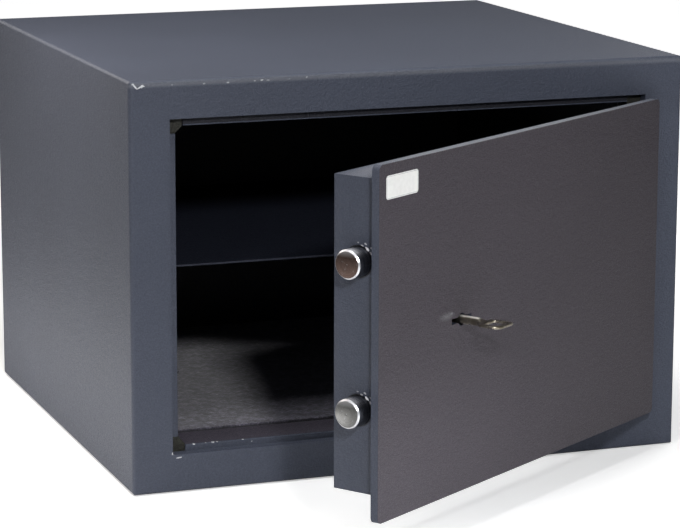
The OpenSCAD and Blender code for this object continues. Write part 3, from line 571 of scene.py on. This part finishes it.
# the two round bolts, turned on a lathe
boltLook = {
    # the end faces' tones: both bolts are one steel, and the upper end's brown is a painted reflection
    "ends": {
        "upper_bolt": (rgb(92, 76, 71), rgb(124, 104, 96)),
        "lower_bolt": (rgb(104, 104, 104), rgb(134, 134, 132)),
    },
    "chamfer": 1.15 * mm, "corner": 0.12 * mm, "dimple": 0.7 * mm, "dimpleDepth": 0.3 * mm,
    "tapRadius": 3.02 * mm, "tapDepth": 15 * mm, "rearEdge": 0.5 * mm,
    "segments": 72, "mergeWithin": 0.001 * mm, "sharp": 22,
}
steelLook = {
    "dark": rgb(78, 80, 88), "light": rgb(128, 130, 138), "stops": (0.35, 0.65),
    "rings": 3200, "turns": 2600,                 # lathe lines per metre, on the end and round the bolt
    "face": 0.2 * mm, "rim": 1.3 * mm,            # how far back the end and its bright rim reach; the rim's near-white tone is a painted highlight
    "rimTone": rgb(214, 214, 218),
    "streaks": 420, "streakDetail": 4, "streakStretch": (6, 1, 1),
    "streakFrom": (0.6, 0.85), "streakMost": 0.5, "streakTone": rgb(196, 197, 202),
    "topHighlightUp": (4.5 * mm, 8.5 * mm), "topHighlightBack": (4.0 * mm, 10 * mm),     # a painted highlight on top, behind the rim
    "topHighlightLines": (0.4, 0.62), "topHighlightLeast": 0.1, "topHighlightTone": rgb(232, 232, 236), "topHighlightDull": 0.32,
    "roughness": (0.24, 0.4), "bump": 0.18, "bumpHeight": 0.06 * mm,
}


def turnedSteel(name, centre, tint, look):
    # a lathe's rings on the end face and round the bolt, counted along the bolt's own axis
    mat, tree, shader, place = startMaterial(name)
    own = shutPlace(tree, place, centre)
    x, y, z = split(tree, own)
    onFace = maths(tree, "LESS_THAN", x, look["face"])
    offFace = opposite(tree, onFace)
    rings = lineNoise(tree, flatLength(tree, y, z), look["rings"])
    turns = lineNoise(tree, x, look["turns"])
    streaks = noise(tree, local(tree, own, size=look["streakStretch"]), look["streaks"], look["streakDetail"])
    line = maths(tree, "ADD", maths(tree, "MULTIPLY", rings, onFace), maths(tree, "MULTIPLY", turns, offFace))
    steel = ramp(tree, line, list(zip(look["stops"], (look["dark"], look["light"]))))
    face = ramp(tree, rings, list(zip(look["stops"], tint)))
    # the chamfer's rim in a near-white tone: a painted highlight
    onRim = maths(tree, "MULTIPLY", maths(tree, "LESS_THAN", x, look["rim"]), offFace)
    tone = mixed(tree, onFace, mixed(tree, onRim, steel, look["rimTone"]), face)
    streaked = mapped(tree, streaks, *look["streakFrom"], 0.0, look["streakMost"])
    tone = mixed(tree, streaked, tone, look["streakTone"])
    # a painted highlight on the bolt's top, behind the rim, broken by the lathe lines, pale and dull
    paintedHighlight = maths(tree, "MULTIPLY", mapped(tree, z, *look["topHighlightUp"], 0.0, 1.0),
                 mapped(tree, x, *look["topHighlightBack"], 1.0, 0.0))
    paintedHighlight = maths(tree, "MULTIPLY", paintedHighlight, mapped(tree, turns, *look["topHighlightLines"], look["topHighlightLeast"], 1.0))
    rough = mapped(tree, line, *noiseSpan, *reversed(look["roughness"]))
    feed(tree, shader, {
        "Base Color": mixed(tree, paintedHighlight, tone, look["topHighlightTone"]), "Metallic": 1.0,
        "Roughness": maths(tree, "ADD", rough, maths(tree, "MULTIPLY", paintedHighlight, look["topHighlightDull"])),
        "Normal": bumped(tree, maths(tree, "ADD", line, streaks), look["bump"], look["bumpHeight"]),
    })
    return mat


def lathe(profile, look, name):
    # profile: (radius, distance along X) from the axis at one end to the axis at the other
    work = bmesh.new()
    line = [work.verts.new((along, 0, radius)) for radius, along in profile]
    edges = [work.edges.new(pair) for pair in zip(line, line[1:])]
    bmesh.ops.spin(work, geom=line + edges, cent=(0, 0, 0), axis=(1, 0, 0), dvec=(0, 0, 0),
                   angle=math.tau, steps=look["segments"], use_merge=True)
    bmesh.ops.remove_doubles(work, verts=work.verts, dist=look["mergeWithin"])
    bmesh.ops.recalc_face_normals(work, faces=work.faces)
    return meshOf(work, name)


def makeBolt(nodeName, look):
    lowCorner, highCorner = shutBox(nodeName)
    radius = (highCorner.z - lowCorner.z) / 2
    span = highCorner.x - lowCorner.x
    chamfer, rear, corner = look["chamfer"], look["rearEdge"], look["corner"]
    profile = [
        (0, look["dimpleDepth"]), (look["dimple"], 0), (radius - chamfer - corner, 0),
        (radius - chamfer, 0.4 * corner), (radius - 0.4 * corner, chamfer - 0.2 * corner),
        (radius, chamfer + corner),
        (radius, span - rear), (radius - rear, span),
        (look["tapRadius"], span), (look["tapRadius"], span - look["tapDepth"]), (0, span - look["tapDepth"]),
    ]
    mesh = lathe(profile, look, camel(nodeName))
    tip = Vector((lowCorner.x, (lowCorner.y + highCorner.y) / 2, (lowCorner.z + highCorner.z) / 2))
    mesh.transform(toOpen @ Matrix.Translation(tip))
    sharpen(mesh, look["sharp"])
    finish = turnedSteel(camel(nodeName) + "Steel", toOpen @ tip, look["ends"][nodeName], steelLook)
    settle(link(mesh, camel(nodeName)), nodeName, finish)


for nodeName in boltLook["ends"]:
    makeBolt(nodeName, boltLook)
print("bolts made:", len(boltLook["ends"]))


# the key
keyLook = {
    "segments": 40, "boxy": 3.4,
    "bow": (22 * mm, 19 * mm), "bowCorner": 5.5 * mm, "bowThick": 2.0 * mm,
    "bar": 4.5 * mm, "barSegments": 20,
    "tipShare": 0.8, "tipLength": 0.4 * mm,
    "neck": 5.0 * mm, "neckSteps": 8, "neckInto": 0.35,      # how far it runs into the bow's bar
    "neckFlare": 0.35, "neckThick": 1.05,                    # wider than the shaft, thicker than the bow
    "bitThick": 2.6 * mm, "bitSpan": 23 * mm, "bitsFromTip": 0.5 * mm, "bitLength": 12.4 * mm,
    "steps": (0.4, 1.1, 2.1, 0.7, 1.6, 0.0),                 # millimetres off each side, from the tip
    "bitEdge": 0.2 * mm, "bitEdgeSegments": 2,
}


def roundedOutline(width, length, corner, points=10):
    outline = []
    for sx, sy, start in ((1, 1, 0), (-1, 1, 90), (-1, -1, 180), (1, -1, 270)):
        for i in range(points + 1):
            turn = math.radians(start + 90 * i / points)
            outline.append((sx * (width / 2 - corner) + corner * math.cos(turn),
                            sy * (length / 2 - corner) + corner * math.sin(turn)))
    return outline


def boxyCircle(halfWide, halfHigh, power, points):
    # circle at power 2, squarer above it
    def bent(value):
        return math.copysign(abs(value) ** (2 / power), value)
    turns = [math.tau * i / points for i in range(points)]
    return [(halfWide * bent(math.cos(turn)), halfHigh * bent(math.sin(turn))) for turn in turns]


def skin(work, loops, closed=False):
    # quads from loop to loop; the ends are capped unless the last joins the first
    rings = [[work.verts.new(p) for p in loop] for loop in loops]
    following = rings[1:] + rings[:1] if closed else rings[1:]
    count = len(rings[0])
    for one, other in zip(rings, following):
        for i in range(count):
            j = (i + 1) % count
            work.faces.new((one[i], one[j], other[j], other[i]))
    if not closed:
        work.faces.new(rings[0])
        work.faces.new(rings[-1])


def finished(work, name, turn, sharp=30):
    bmesh.ops.recalc_face_normals(work, faces=work.faces)
    mesh = meshOf(work, name)
    mesh.transform(turn)
    sharpen(mesh, sharp)
    return link(mesh, name)


def makeKey(look):
    lowCorner, highCorner = shutBox("key")
    x, z = (lowCorner.x + highCorner.x) / 2, (lowCorner.z + highCorner.z) / 2
    radius = (highCorner.z - lowCorner.z) / 2
    tip, end = highCorner.y, lowCorner.y
    wide, long = look["bow"]
    bar, thick = look["bar"], look["bowThick"] / 2
    neckStart = end + long + look["neck"]
    neckLong = look["neck"] + look["neckInto"] * bar
    work = bmesh.new()
    # shaft, then the neck that flattens into the bow's near bar: place, width and height shares, power
    share = look["tipShare"]
    sections = [(tip, share, share, 2), (tip - look["tipLength"], 1, 1, 2), (neckStart, 1, 1, 2)]
    for i in range(1, look["neckSteps"] + 1):
        t = i / look["neckSteps"]
        ease = t * t * (3 - 2 * t)
        sections.append((neckStart - t * neckLong, 1 + look["neckFlare"] * ease,
                         1 + (thick * look["neckThick"] / radius - 1) * ease, 2 + (look["boxy"] - 2) * ease))
    skin(work, [[(x + u, y, z + v) for u, v in boxyCircle(radius * a, radius * b, power, look["segments"])]
                for y, a, b, power in sections])
    # bow
    loops = []
    for d, v in boxyCircle(bar / 2, thick, look["boxy"], look["barSegments"]):
        d += bar / 2
        outline = roundedOutline(wide - 2 * d, long - 2 * d, look["bowCorner"] - d)
        loops.append([(x + u, end + long / 2 + w, z + v) for u, w in outline])
    skin(work, loops, closed=True)
    # bits, the same on both sides
    step = look["bitLength"] / len(look["steps"])
    start = tip - look["bitsFromTip"]
    right = []
    for i, less in enumerate(look["steps"]):
        half = look["bitSpan"] / 2 - less * mm
        right += [(half, start - i * step), (half, start - (i + 1) * step)]
    outline = right + [(-u, w) for u, w in reversed(right)]
    before = set(work.edges)
    skin(work, [[(x + u, w, z + side * look["bitThick"] / 2) for u, w in outline] for side in (-1, 1)])
    bmesh.ops.bevel(work, geom=[e for e in work.edges if e not in before], offset=look["bitEdge"],
                    segments=look["bitEdgeSegments"], affect="EDGES", clamp_overlap=True)
    settle(finished(work, "keyPiece", toOpen), "key", finishes["nickel"])


makeKey(keyLook)
print("key made")


# the blank label at the door's upper free corner
labelLook = {
    "fromFree": 7.6 * mm, "fromTop": 8.0 * mm, "size": (36.8 * mm, 15.7 * mm), "thick": 0.15 * mm,
    "corner": 2.2 * mm, "cornerSteps": 8,
    "tone": rgb(250, 250, 248), "lineTone": rgb(208, 211, 210), "lineIn": 0.7 * mm, "lineHalf": 0.22 * mm,
    "dust": 300, "dustDetail": 4, "dustTone": (0.94, 1.02),
    "sheen": 500, "roughness": (0.28, 0.42),
}


def labelVinyl(name, centre, look):
    # white vinyl, bare, with a thin grey keyline near its rim
    mat, tree, shader, place = startMaterial(name)
    own = split(tree, shutPlace(tree, place, centre))
    across, up = (maths(tree, "SUBTRACT", span / 2, maths(tree, "ABSOLUTE", own[axis]))
                  for axis, span in zip((0, 2), look["size"]))
    fromLine = maths(tree, "SUBTRACT", maths(tree, "MINIMUM", across, up), look["lineIn"])
    onLine = maths(tree, "LESS_THAN", maths(tree, "ABSOLUTE", fromLine), look["lineHalf"])
    dust = mapped(tree, noise(tree, place, look["dust"], look["dustDetail"]), *noiseSpan, *look["dustTone"])
    tone = mixed(tree, onLine, look["tone"], look["lineTone"])
    feed(tree, shader, {
        "Base Color": mixed(tree, 1.0, tone, dust, "MULTIPLY"),
        "Roughness": mapped(tree, noise(tree, place, look["sheen"]), *noiseSpan, *look["roughness"]),
    })
    return mat


def makeLabel(look):
    lowCorner, highCorner = shutBox("door_plate")
    wide, high = look["size"]
    centre = Vector((lowCorner.x + look["fromFree"] + wide / 2, lowCorner.y,
                     highCorner.z - look["fromTop"] - high / 2))
    work = bmesh.new()
    outline = roundedOutline(wide, high, look["corner"], look["cornerSteps"])
    skin(work, [[(centre.x + u, centre.y - out, centre.z + v) for u, v in outline]
                for out in (0, look["thick"])])
    obj = finished(work, "label", toOpen)
    obj.data.materials.append(labelVinyl("labelVinyl", toOpen @ centre, look))
    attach(obj, "door")


makeLabel(labelLook)
print("label made")


# the felt mat, a little uneven, with its two anchor holes
matLook = {
    "cell": 5 * mm, "holeHalf": 15 * mm, "holeRoom": 2 * mm, "around": 6,
    "wave": 0.35 * mm, "waveLength": 38 * mm, "waveSlice": 0.37,
    "edge": 0.6 * mm, "edgeWide": 2 * mm, "sharp": 60,
}
feltLook = {
    "tones": [(0.42, rgb(64, 62, 74)), (0.58, rgb(94, 91, 105)), (0.74, rgb(152, 148, 162))],
    "fibres": ((900, 0.6, 5), (700, -0.9, 4)), "fibreRough": 0.6,        # scale, turn and stretch of each lay
    "mottle": 150, "mottleDetail": 5, "mottleRough": 0.8,
    "mottleFrom": (0.38, 0.62), "mottleTone": (0.35, 1.6),
    "shadeUp": (32.6 * mm, 34 * mm), "shade": 0.2,                       # low on its cut edge
    "roughness": 0.97, "sheen": 0.3, "sheenRough": 0.6, "bump": 0.8, "bumpHeight": 0.5 * mm,
}


def needledFelt(name, look):
    # short grey fibres over each other at two angles, with pale and dark flecks
    mat, tree, shader, place = startMaterial(name)
    lays = []
    for scale, turn, stretch in look["fibres"]:
        along = local(tree, place, turn=(0, 0, turn), size=(stretch, 1, 1))
        lays.append(noise(tree, along, scale, roughness=look["fibreRough"]))
    fibre = maths(tree, "MAXIMUM", *lays)
    mottle = noise(tree, place, look["mottle"], look["mottleDetail"], look["mottleRough"])
    spots = mapped(tree, mottle, *look["mottleFrom"], *look["mottleTone"])
    shade = mapped(tree, split(tree, place)[2], *look["shadeUp"], look["shade"], 1.0)
    tone = mixed(tree, 1.0, ramp(tree, fibre, look["tones"]), spots, "MULTIPLY")
    feed(tree, shader, {
        "Base Color": mixed(tree, 1.0, tone, shade, "MULTIPLY"), "Roughness": look["roughness"],
        "Sheen Weight": look["sheen"], "Sheen Roughness": look["sheenRough"],
        "Normal": bumped(tree, maths(tree, "ADD", fibre, mottle), look["bump"], look["bumpHeight"]),
    })
    return mat


def spread(stops, cell):
    # evenly spaced places from stop to stop, each stop among them
    places = []
    for low, high in zip(stops, stops[1:]):
        count = max(1, round((high - low) / cell))
        places += [low + (high - low) * i / count for i in range(count)]
    return places + [stops[-1]]


def makeMat(look):
    lowCorner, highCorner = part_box("floor_mat")
    holeLow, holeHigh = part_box("base_sleeves")
    reach = (holeHigh.y - holeLow.y) / 2
    radius = reach + look["holeRoom"]
    middleY = (holeLow.y + holeHigh.y) / 2
    holeXs = (holeLow.x + reach, holeHigh.x - reach)
    half = look["holeHalf"]
    holeSides = [hx + side for hx in holeXs for side in (-half, half)]
    xs = spread([lowCorner.x, *holeSides, highCorner.x], look["cell"])
    ys = spread([lowCorner.y, middleY - half, middleY + half, highCorner.y], look["cell"])

    def top(px, py):
        spot = Vector((px / look["waveLength"], py / look["waveLength"], look["waveSlice"]))
        inward = min(px - lowCorner.x, highCorner.x - px, py - lowCorner.y, highCorner.y - py)
        droop = look["edge"] * max(0.0, 1 - inward / look["edgeWide"])
        return highCorner.z - look["wave"] * (0.5 + mathutils.noise.noise(spot)) - droop

    work = bmesh.new()
    upper, lower = {}, {}

    def corner(px, py):
        spot = (round(px, 6), round(py, 6))
        if spot not in upper:
            upper[spot] = work.verts.new((px, py, top(px, py)))
            lower[spot] = work.verts.new((px, py, lowCorner.z))
        return spot

    def quad(spots):
        work.faces.new([upper[s] for s in spots])
        work.faces.new([lower[s] for s in reversed(spots)])

    def inHole(px, py):
        return abs(py - middleY) < half and any(abs(px - hx) < half for hx in holeXs)

    for x0, x1 in zip(xs, xs[1:]):
        for y0, y1 in zip(ys, ys[1:]):
            if not inHole((x0 + x1) / 2, (y0 + y1) / 2):
                quad([corner(x0, y0), corner(x1, y0), corner(x1, y1), corner(x0, y1)])
    # from the square round each hole in to its circle
    count = look["around"]
    side = [-half + 2 * half * i / count for i in range(count)]
    square = ([(u, -half) for u in side] + [(half, v) for v in side]
              + [(-u, half) for u in side] + [(-half, -v) for v in side])
    circle = [(radius * u / math.hypot(u, v), radius * v / math.hypot(u, v)) for u, v in square]
    for hx in holeXs:
        for i in range(len(square)):
            j = (i + 1) % len(square)
            quad([corner(hx + u, middleY + v) for u, v in (circle[i], square[i], square[j], circle[j])])
    # walls along every open edge
    byVert = {v: s for s, v in upper.items()}
    for edge in [e for e in work.edges if len(e.link_faces) == 1 and e.verts[0] in byVert]:
        one, two = edge.verts
        work.faces.new((one, two, lower[byVert[two]], lower[byVert[one]]))
    obj = finished(work, "floorMat", Matrix.Identity(4), look["sharp"])
    settle(obj, "floor_mat", needledFelt("needledFelt", feltLook))


makeMat(matLook)
print("mat made")


# the screws: one tree, with a point for every screw; sizes in millimetres, axis as in the shut door
screwLooks = {
    "cover_screws": {"axis": "Y", "head": 2.0, "radius": 3.6, "shank": 2.0, "recess": "cross"},
    "lock_screws": {"axis": "Y", "head": 2.2, "radius": 3.5, "shank": 2.0, "recess": "cross"},
    "bolt_screws": {"axis": "X", "head": 4.0, "radius": 5.0, "shank": 3.0, "recess": "hex"},
    "lock_bolt_screws": {"axis": "X", "head": 2.0, "radius": 3.3, "shank": 2.0, "recess": "cross"},
}
# the recess across the head: share of its radius, sides
recessLooks = {"cross": {"share": 0.52, "sides": 4}, "hex": {"share": 0.56, "sides": 6}}
screwShape = {
    "headSides": 32, "shankSides": 24,
    "wall": 0.62, "crown": 0.72,                 # the head's straight part, and its top's radius
    "recessDepth": 0.9, "recessFloor": 0.45,     # shares of the head's height
    "bars": ((1.0, 0.26), (0.26, 1.0)),          # of the cross, long and wide
}
screwSharp = 25       # degrees


def looseParts(nodeName):
    # boxes of a door node's separate solids, with the door shut
    work = copyOf(nodeName)
    work.transform(toShut)
    left = set(work.verts)
    boxes = []
    while left:
        group, waiting = set(), [left.pop()]
        while waiting:
            vert = waiting.pop()
            group.add(vert)
            for e in vert.link_edges:
                other = e.other_vert(vert)
                if other in left:
                    left.discard(other)
                    waiting.append(other)
        boxes.append(corners(v.co for v in group))
    work.free()
    return sorted(boxes, key=lambda b: tuple(b[0]))


def screwTree(shape):
    tree = bpy.data.node_groups.new("screwSet", "GeometryNodeTree")
    face = tree.interface
    face.new_socket(name="Geometry", in_out="OUTPUT", socket_type="NodeSocketGeometry")
    for name, kind in (
        ("Geometry", "Geometry"), ("Head Radius", "Float"), ("Head Height", "Float"),
        ("Shank Radius", "Float"), ("Shank Length", "Float"), ("Recess Size", "Float"),
        ("Recess Sides", "Int"), ("Turn", "Vector"), ("Material", "Material"),
    ):
        face.new_socket(name=name, in_out="INPUT", socket_type="NodeSocket" + kind)

    def add(kind, values=None, **settings):
        node = tree.nodes.new(kind)
        for name, value in settings.items():
            setattr(node, name, value)
        feed(tree, node, values or {})
        return node

    def times(a, b):
        return maths(tree, "MULTIPLY", a, b)

    def moved(mesh, height):
        place = add("ShaderNodeCombineXYZ", {"Z": height}).outputs[0]
        return add("GeometryNodeTransform", {"Geometry": mesh, "Translation": place}).outputs["Geometry"]

    def drum(sides, radius, depth, radiusTop=None):
        return add("GeometryNodeMeshCone", {
            "Vertices": sides, "Radius Bottom": radius,
            "Radius Top": radius if radiusTop is None else radiusTop, "Depth": depth,
        }).outputs["Mesh"]

    def union(meshes):
        node = add("GeometryNodeMeshBoolean", operation="UNION", solver="EXACT")
        for mesh in meshes:
            feed(tree, node, {"Mesh 2": mesh})
        return node.outputs["Mesh"]

    given = add("NodeGroupInput").outputs
    head, high, size = given["Head Radius"], given["Head Height"], given["Recess Size"]
    low = times(high, shape["wall"])
    wall = drum(shape["headSides"], head, low)
    crown = drum(shape["headSides"], head, maths(tree, "SUBTRACT", high, low), times(head, shape["crown"]))
    body = union([wall, moved(crown, low)])
    # recess: a prism of so many sides, or two flat bars when it has four
    deep = times(high, shape["recessDepth"])
    prism = moved(drum(given["Recess Sides"], size, deep), times(high, shape["recessFloor"]))
    bars = []
    for u, v in shape["bars"]:
        side = add("ShaderNodeCombineXYZ", {"X": times(size, 2 * u), "Y": times(size, 2 * v), "Z": deep})
        bars.append(moved(add("GeometryNodeMeshCube", {"Size": side.outputs[0]}).outputs["Mesh"], high))
    isCross = add("FunctionNodeCompare", data_type="INT", operation="EQUAL")
    feed(tree, isCross, {2: given["Recess Sides"], 3: recessLooks["cross"]["sides"]})
    pick = add("GeometryNodeSwitch", input_type="GEOMETRY")
    feed(tree, pick, {"Switch": isCross.outputs["Result"], "False": prism, "True": union(bars)})
    cut = add("GeometryNodeMeshBoolean", operation="DIFFERENCE", solver="EXACT")
    feed(tree, cut, {"Mesh 1": body, "Mesh 2": pick.outputs["Output"]})
    shankLong = given["Shank Length"]
    shank = moved(drum(shape["shankSides"], given["Shank Radius"], shankLong), times(shankLong, -1))
    join = add("GeometryNodeJoinGeometry")
    for mesh in (cut.outputs["Mesh"], shank):
        feed(tree, join, {"Geometry": mesh})
    copies = add("GeometryNodeInstanceOnPoints", {
        "Points": given["Geometry"], "Instance": join.outputs["Geometry"], "Rotation": given["Turn"],
    })
    real = add("GeometryNodeRealizeInstances", {"Geometry": copies.outputs["Instances"]})
    paint = add("GeometryNodeSetMaterial", {
        "Geometry": real.outputs["Geometry"], "Material": given["Material"],
    })
    add("NodeGroupOutput", {"Geometry": paint.outputs["Geometry"]})
    return tree


def grown(obj, tree, settings, name, turn):
    # runs the tree on obj once and keeps the result as a plain mesh
    nodesOn = obj.modifiers.new("tree", "NODES")
    nodesOn.node_group = tree
    for item in tree.interface.items_tree:
        if item.in_out == "INPUT" and item.name in settings:
            nodesOn[item.identifier] = settings[item.name]
    obj.update_tag()
    graph = bpy.context.evaluated_depsgraph_get()
    graph.update()
    mesh = bpy.data.meshes.new_from_object(obj.evaluated_get(graph), preserve_all_data_layers=True,
                                           depsgraph=graph)
    mesh.name = name
    obj.modifiers.remove(nodesOn)
    bpy.data.objects.remove(obj)
    mesh.transform(turn)
    return mesh


def makeScrews(looks):
    tree = screwTree(screwShape)
    for nodeName, look in looks.items():
        name = camel(nodeName)
        recess = recessLooks[look["recess"]]
        height = look["head"] * mm
        along = "XYZ".index(look["axis"])       # the head is at the high end
        seats, shankLong = [], 0
        for lowCorner, highCorner in looseParts(nodeName):
            seat = (lowCorner + highCorner) / 2
            seat[along] = highCorner[along] - height
            seats.append(seat)
            shankLong = seat[along] - lowCorner[along]
        points = bpy.data.meshes.new(name + "Seats")
        points.from_pydata(seats, [], [])
        settings = {
            "Head Radius": look["radius"] * mm, "Head Height": height,
            "Shank Radius": look["shank"] * mm, "Shank Length": shankLong,
            "Recess Size": look["radius"] * recess["share"] * mm, "Recess Sides": recess["sides"],
            "Turn": {"X": (0, math.pi / 2, 0), "Y": (-math.pi / 2, 0, 0)}[look["axis"]],
            "Material": finishes["zinc"],
        }
        mesh = grown(link(points, name + "Seats"), tree, settings, name, toOpen)
        sharpen(mesh, screwSharp)
        standFor(link(mesh, name), nodeName)
        print("screws:", name, len(seats))


makeScrews(screwLooks)

# floor, backdrop and light; a lamp is white and aims at the safe unless its line says otherwise
stageLook = {
    "floorSize": 14.0, "floorSunk": 0.5 * mm, "floorColour": 0.9, "floorRough": 0.9,
    "paperScale": 30, "paperDark": 0.99,
    "glow": (0.45, 0.95), "glowReach": (0.6, 1.6),           # strength near and far, and how far, in metres
    "glossyFloor": 0.15, "glossySky": 0.1, "sky": 0.02,
    "tint": (1.0, 1.0, 1.0), "aim": (0, -0.1, 0.15),
    "lights": {
        "topLight": {"place": (-0.15, -0.35, 1.12), "size": 0.5, "watts": 6.9},
        "keyLight": {"place": (-0.3, -1.6, 0.86), "size": 0.16, "watts": 11.0},
        "rimLight": {"place": (0.9, 1.8, 1.6), "size": 0.4, "watts": 1.0},
        "rightLight": {"place": (1.0, 0.6, 0.6), "size": 0.4, "watts": 4.5, "aim": (0.2, 0.0, 0.15)},
        "lowLight": {"place": (-0.33, 0.0, 0.015), "size": 0.8, "high": 0.06, "watts": 0.33,
                     "tint": (1.0, 0.99, 0.98), "aim": (-0.2, 0.0, 0.015)},
        "sideLight": {"place": (-0.42, 0.0, 0.5), "size": 0.2, "watts": 1.2,
                      "tint": (1.0, 0.92, 0.84), "aim": (-0.2, 0.0, 0.3)},
        "bounceLight": {"place": (0.04, -0.62, 0.13), "size": 0.24, "watts": 0.9,
                        "tint": (0.95, 0.97, 1.0), "aim": (0.04, -0.62, 0.0)},
        "backPanel": {"place": (-0.75, 2.2, 1.05), "size": 0.8, "watts": 9.0, "tint": (1.0, 0.98, 0.95)},
    },
}


def seenBy(tree, glossy):
    # 1 to the camera and through glass, less in reflections, 0 to other rays
    path = tree.nodes.new("ShaderNodeLightPath").outputs
    straight = maths(tree, "MAXIMUM", path["Is Camera Ray"], path["Is Transmission Ray"])
    return maths(tree, "MAXIMUM", straight, maths(tree, "MULTIPLY", path["Is Glossy Ray"], glossy))


def makeFloor(look):
    half = look["floorSize"] / 2
    mesh = bpy.data.meshes.new("floor")
    square = [(-half, -half, 0), (half, -half, 0), (half, half, 0), (-half, half, 0)]
    mesh.from_pydata(square, [], [(0, 1, 2, 3)])
    floor = link(mesh, "floor")
    floor.location.z = -look["floorSunk"]
    mat, tree, shader, place = startMaterial("floorPaper")
    tones = [(look["floorColour"] * share,) * 3 + (1,) for share in (look["paperDark"], 1)]
    # camera rays see the paper brighter, up to white, and its shadow stays
    glow = mapped(tree, length(tree, place), *look["glowReach"], *look["glow"])
    feed(tree, shader, {
        "Base Color": ramp(tree, noise(tree, place, look["paperScale"]), list(zip(noiseSpan, tones))),
        "Roughness": look["floorRough"], "Specular IOR Level": 0.0,
        "Emission Color": (1, 1, 1, 1),
        "Emission Strength": maths(tree, "MULTIPLY", seenBy(tree, look["glossyFloor"]), glow),
    })
    mesh.materials.append(mat)


def makeLights(look):
    for name, setup in look["lights"].items():
        data = bpy.data.lights.new(name, "AREA")
        data.shape = "RECTANGLE" if "high" in setup else "DISK"
        data.size = setup["size"]
        data.size_y = setup.get("high", setup["size"])
        data.energy = setup["watts"]
        data.color = setup.get("tint", look["tint"])
        lamp = bpy.data.objects.new(name, data)
        bpy.context.scene.collection.objects.link(lamp)
        lamp.location = setup["place"]
        lamp.visible_camera = False
        aim = Vector(setup.get("aim", look["aim"])) - Vector(setup["place"])
        lamp.rotation_euler = aim.to_track_quat("-Z", "Y").to_euler()


def makeSky(look):
    world = bpy.data.worlds.new("studio")
    bpy.context.scene.world = world
    world.use_nodes = True
    tree = world.node_tree
    # white to the camera, paler in reflections, a faint even light to everything else
    strength = maths(tree, "MAXIMUM", seenBy(tree, look["glossySky"]), look["sky"])
    feed(tree, tree.nodes["Background"], {"Color": (1, 1, 1, 1), "Strength": strength})


makeFloor(stageLook)
makeLights(stageLook)
makeSky(stageLook)
bpy.context.scene.view_settings.view_transform = "Standard"
print("stage made")
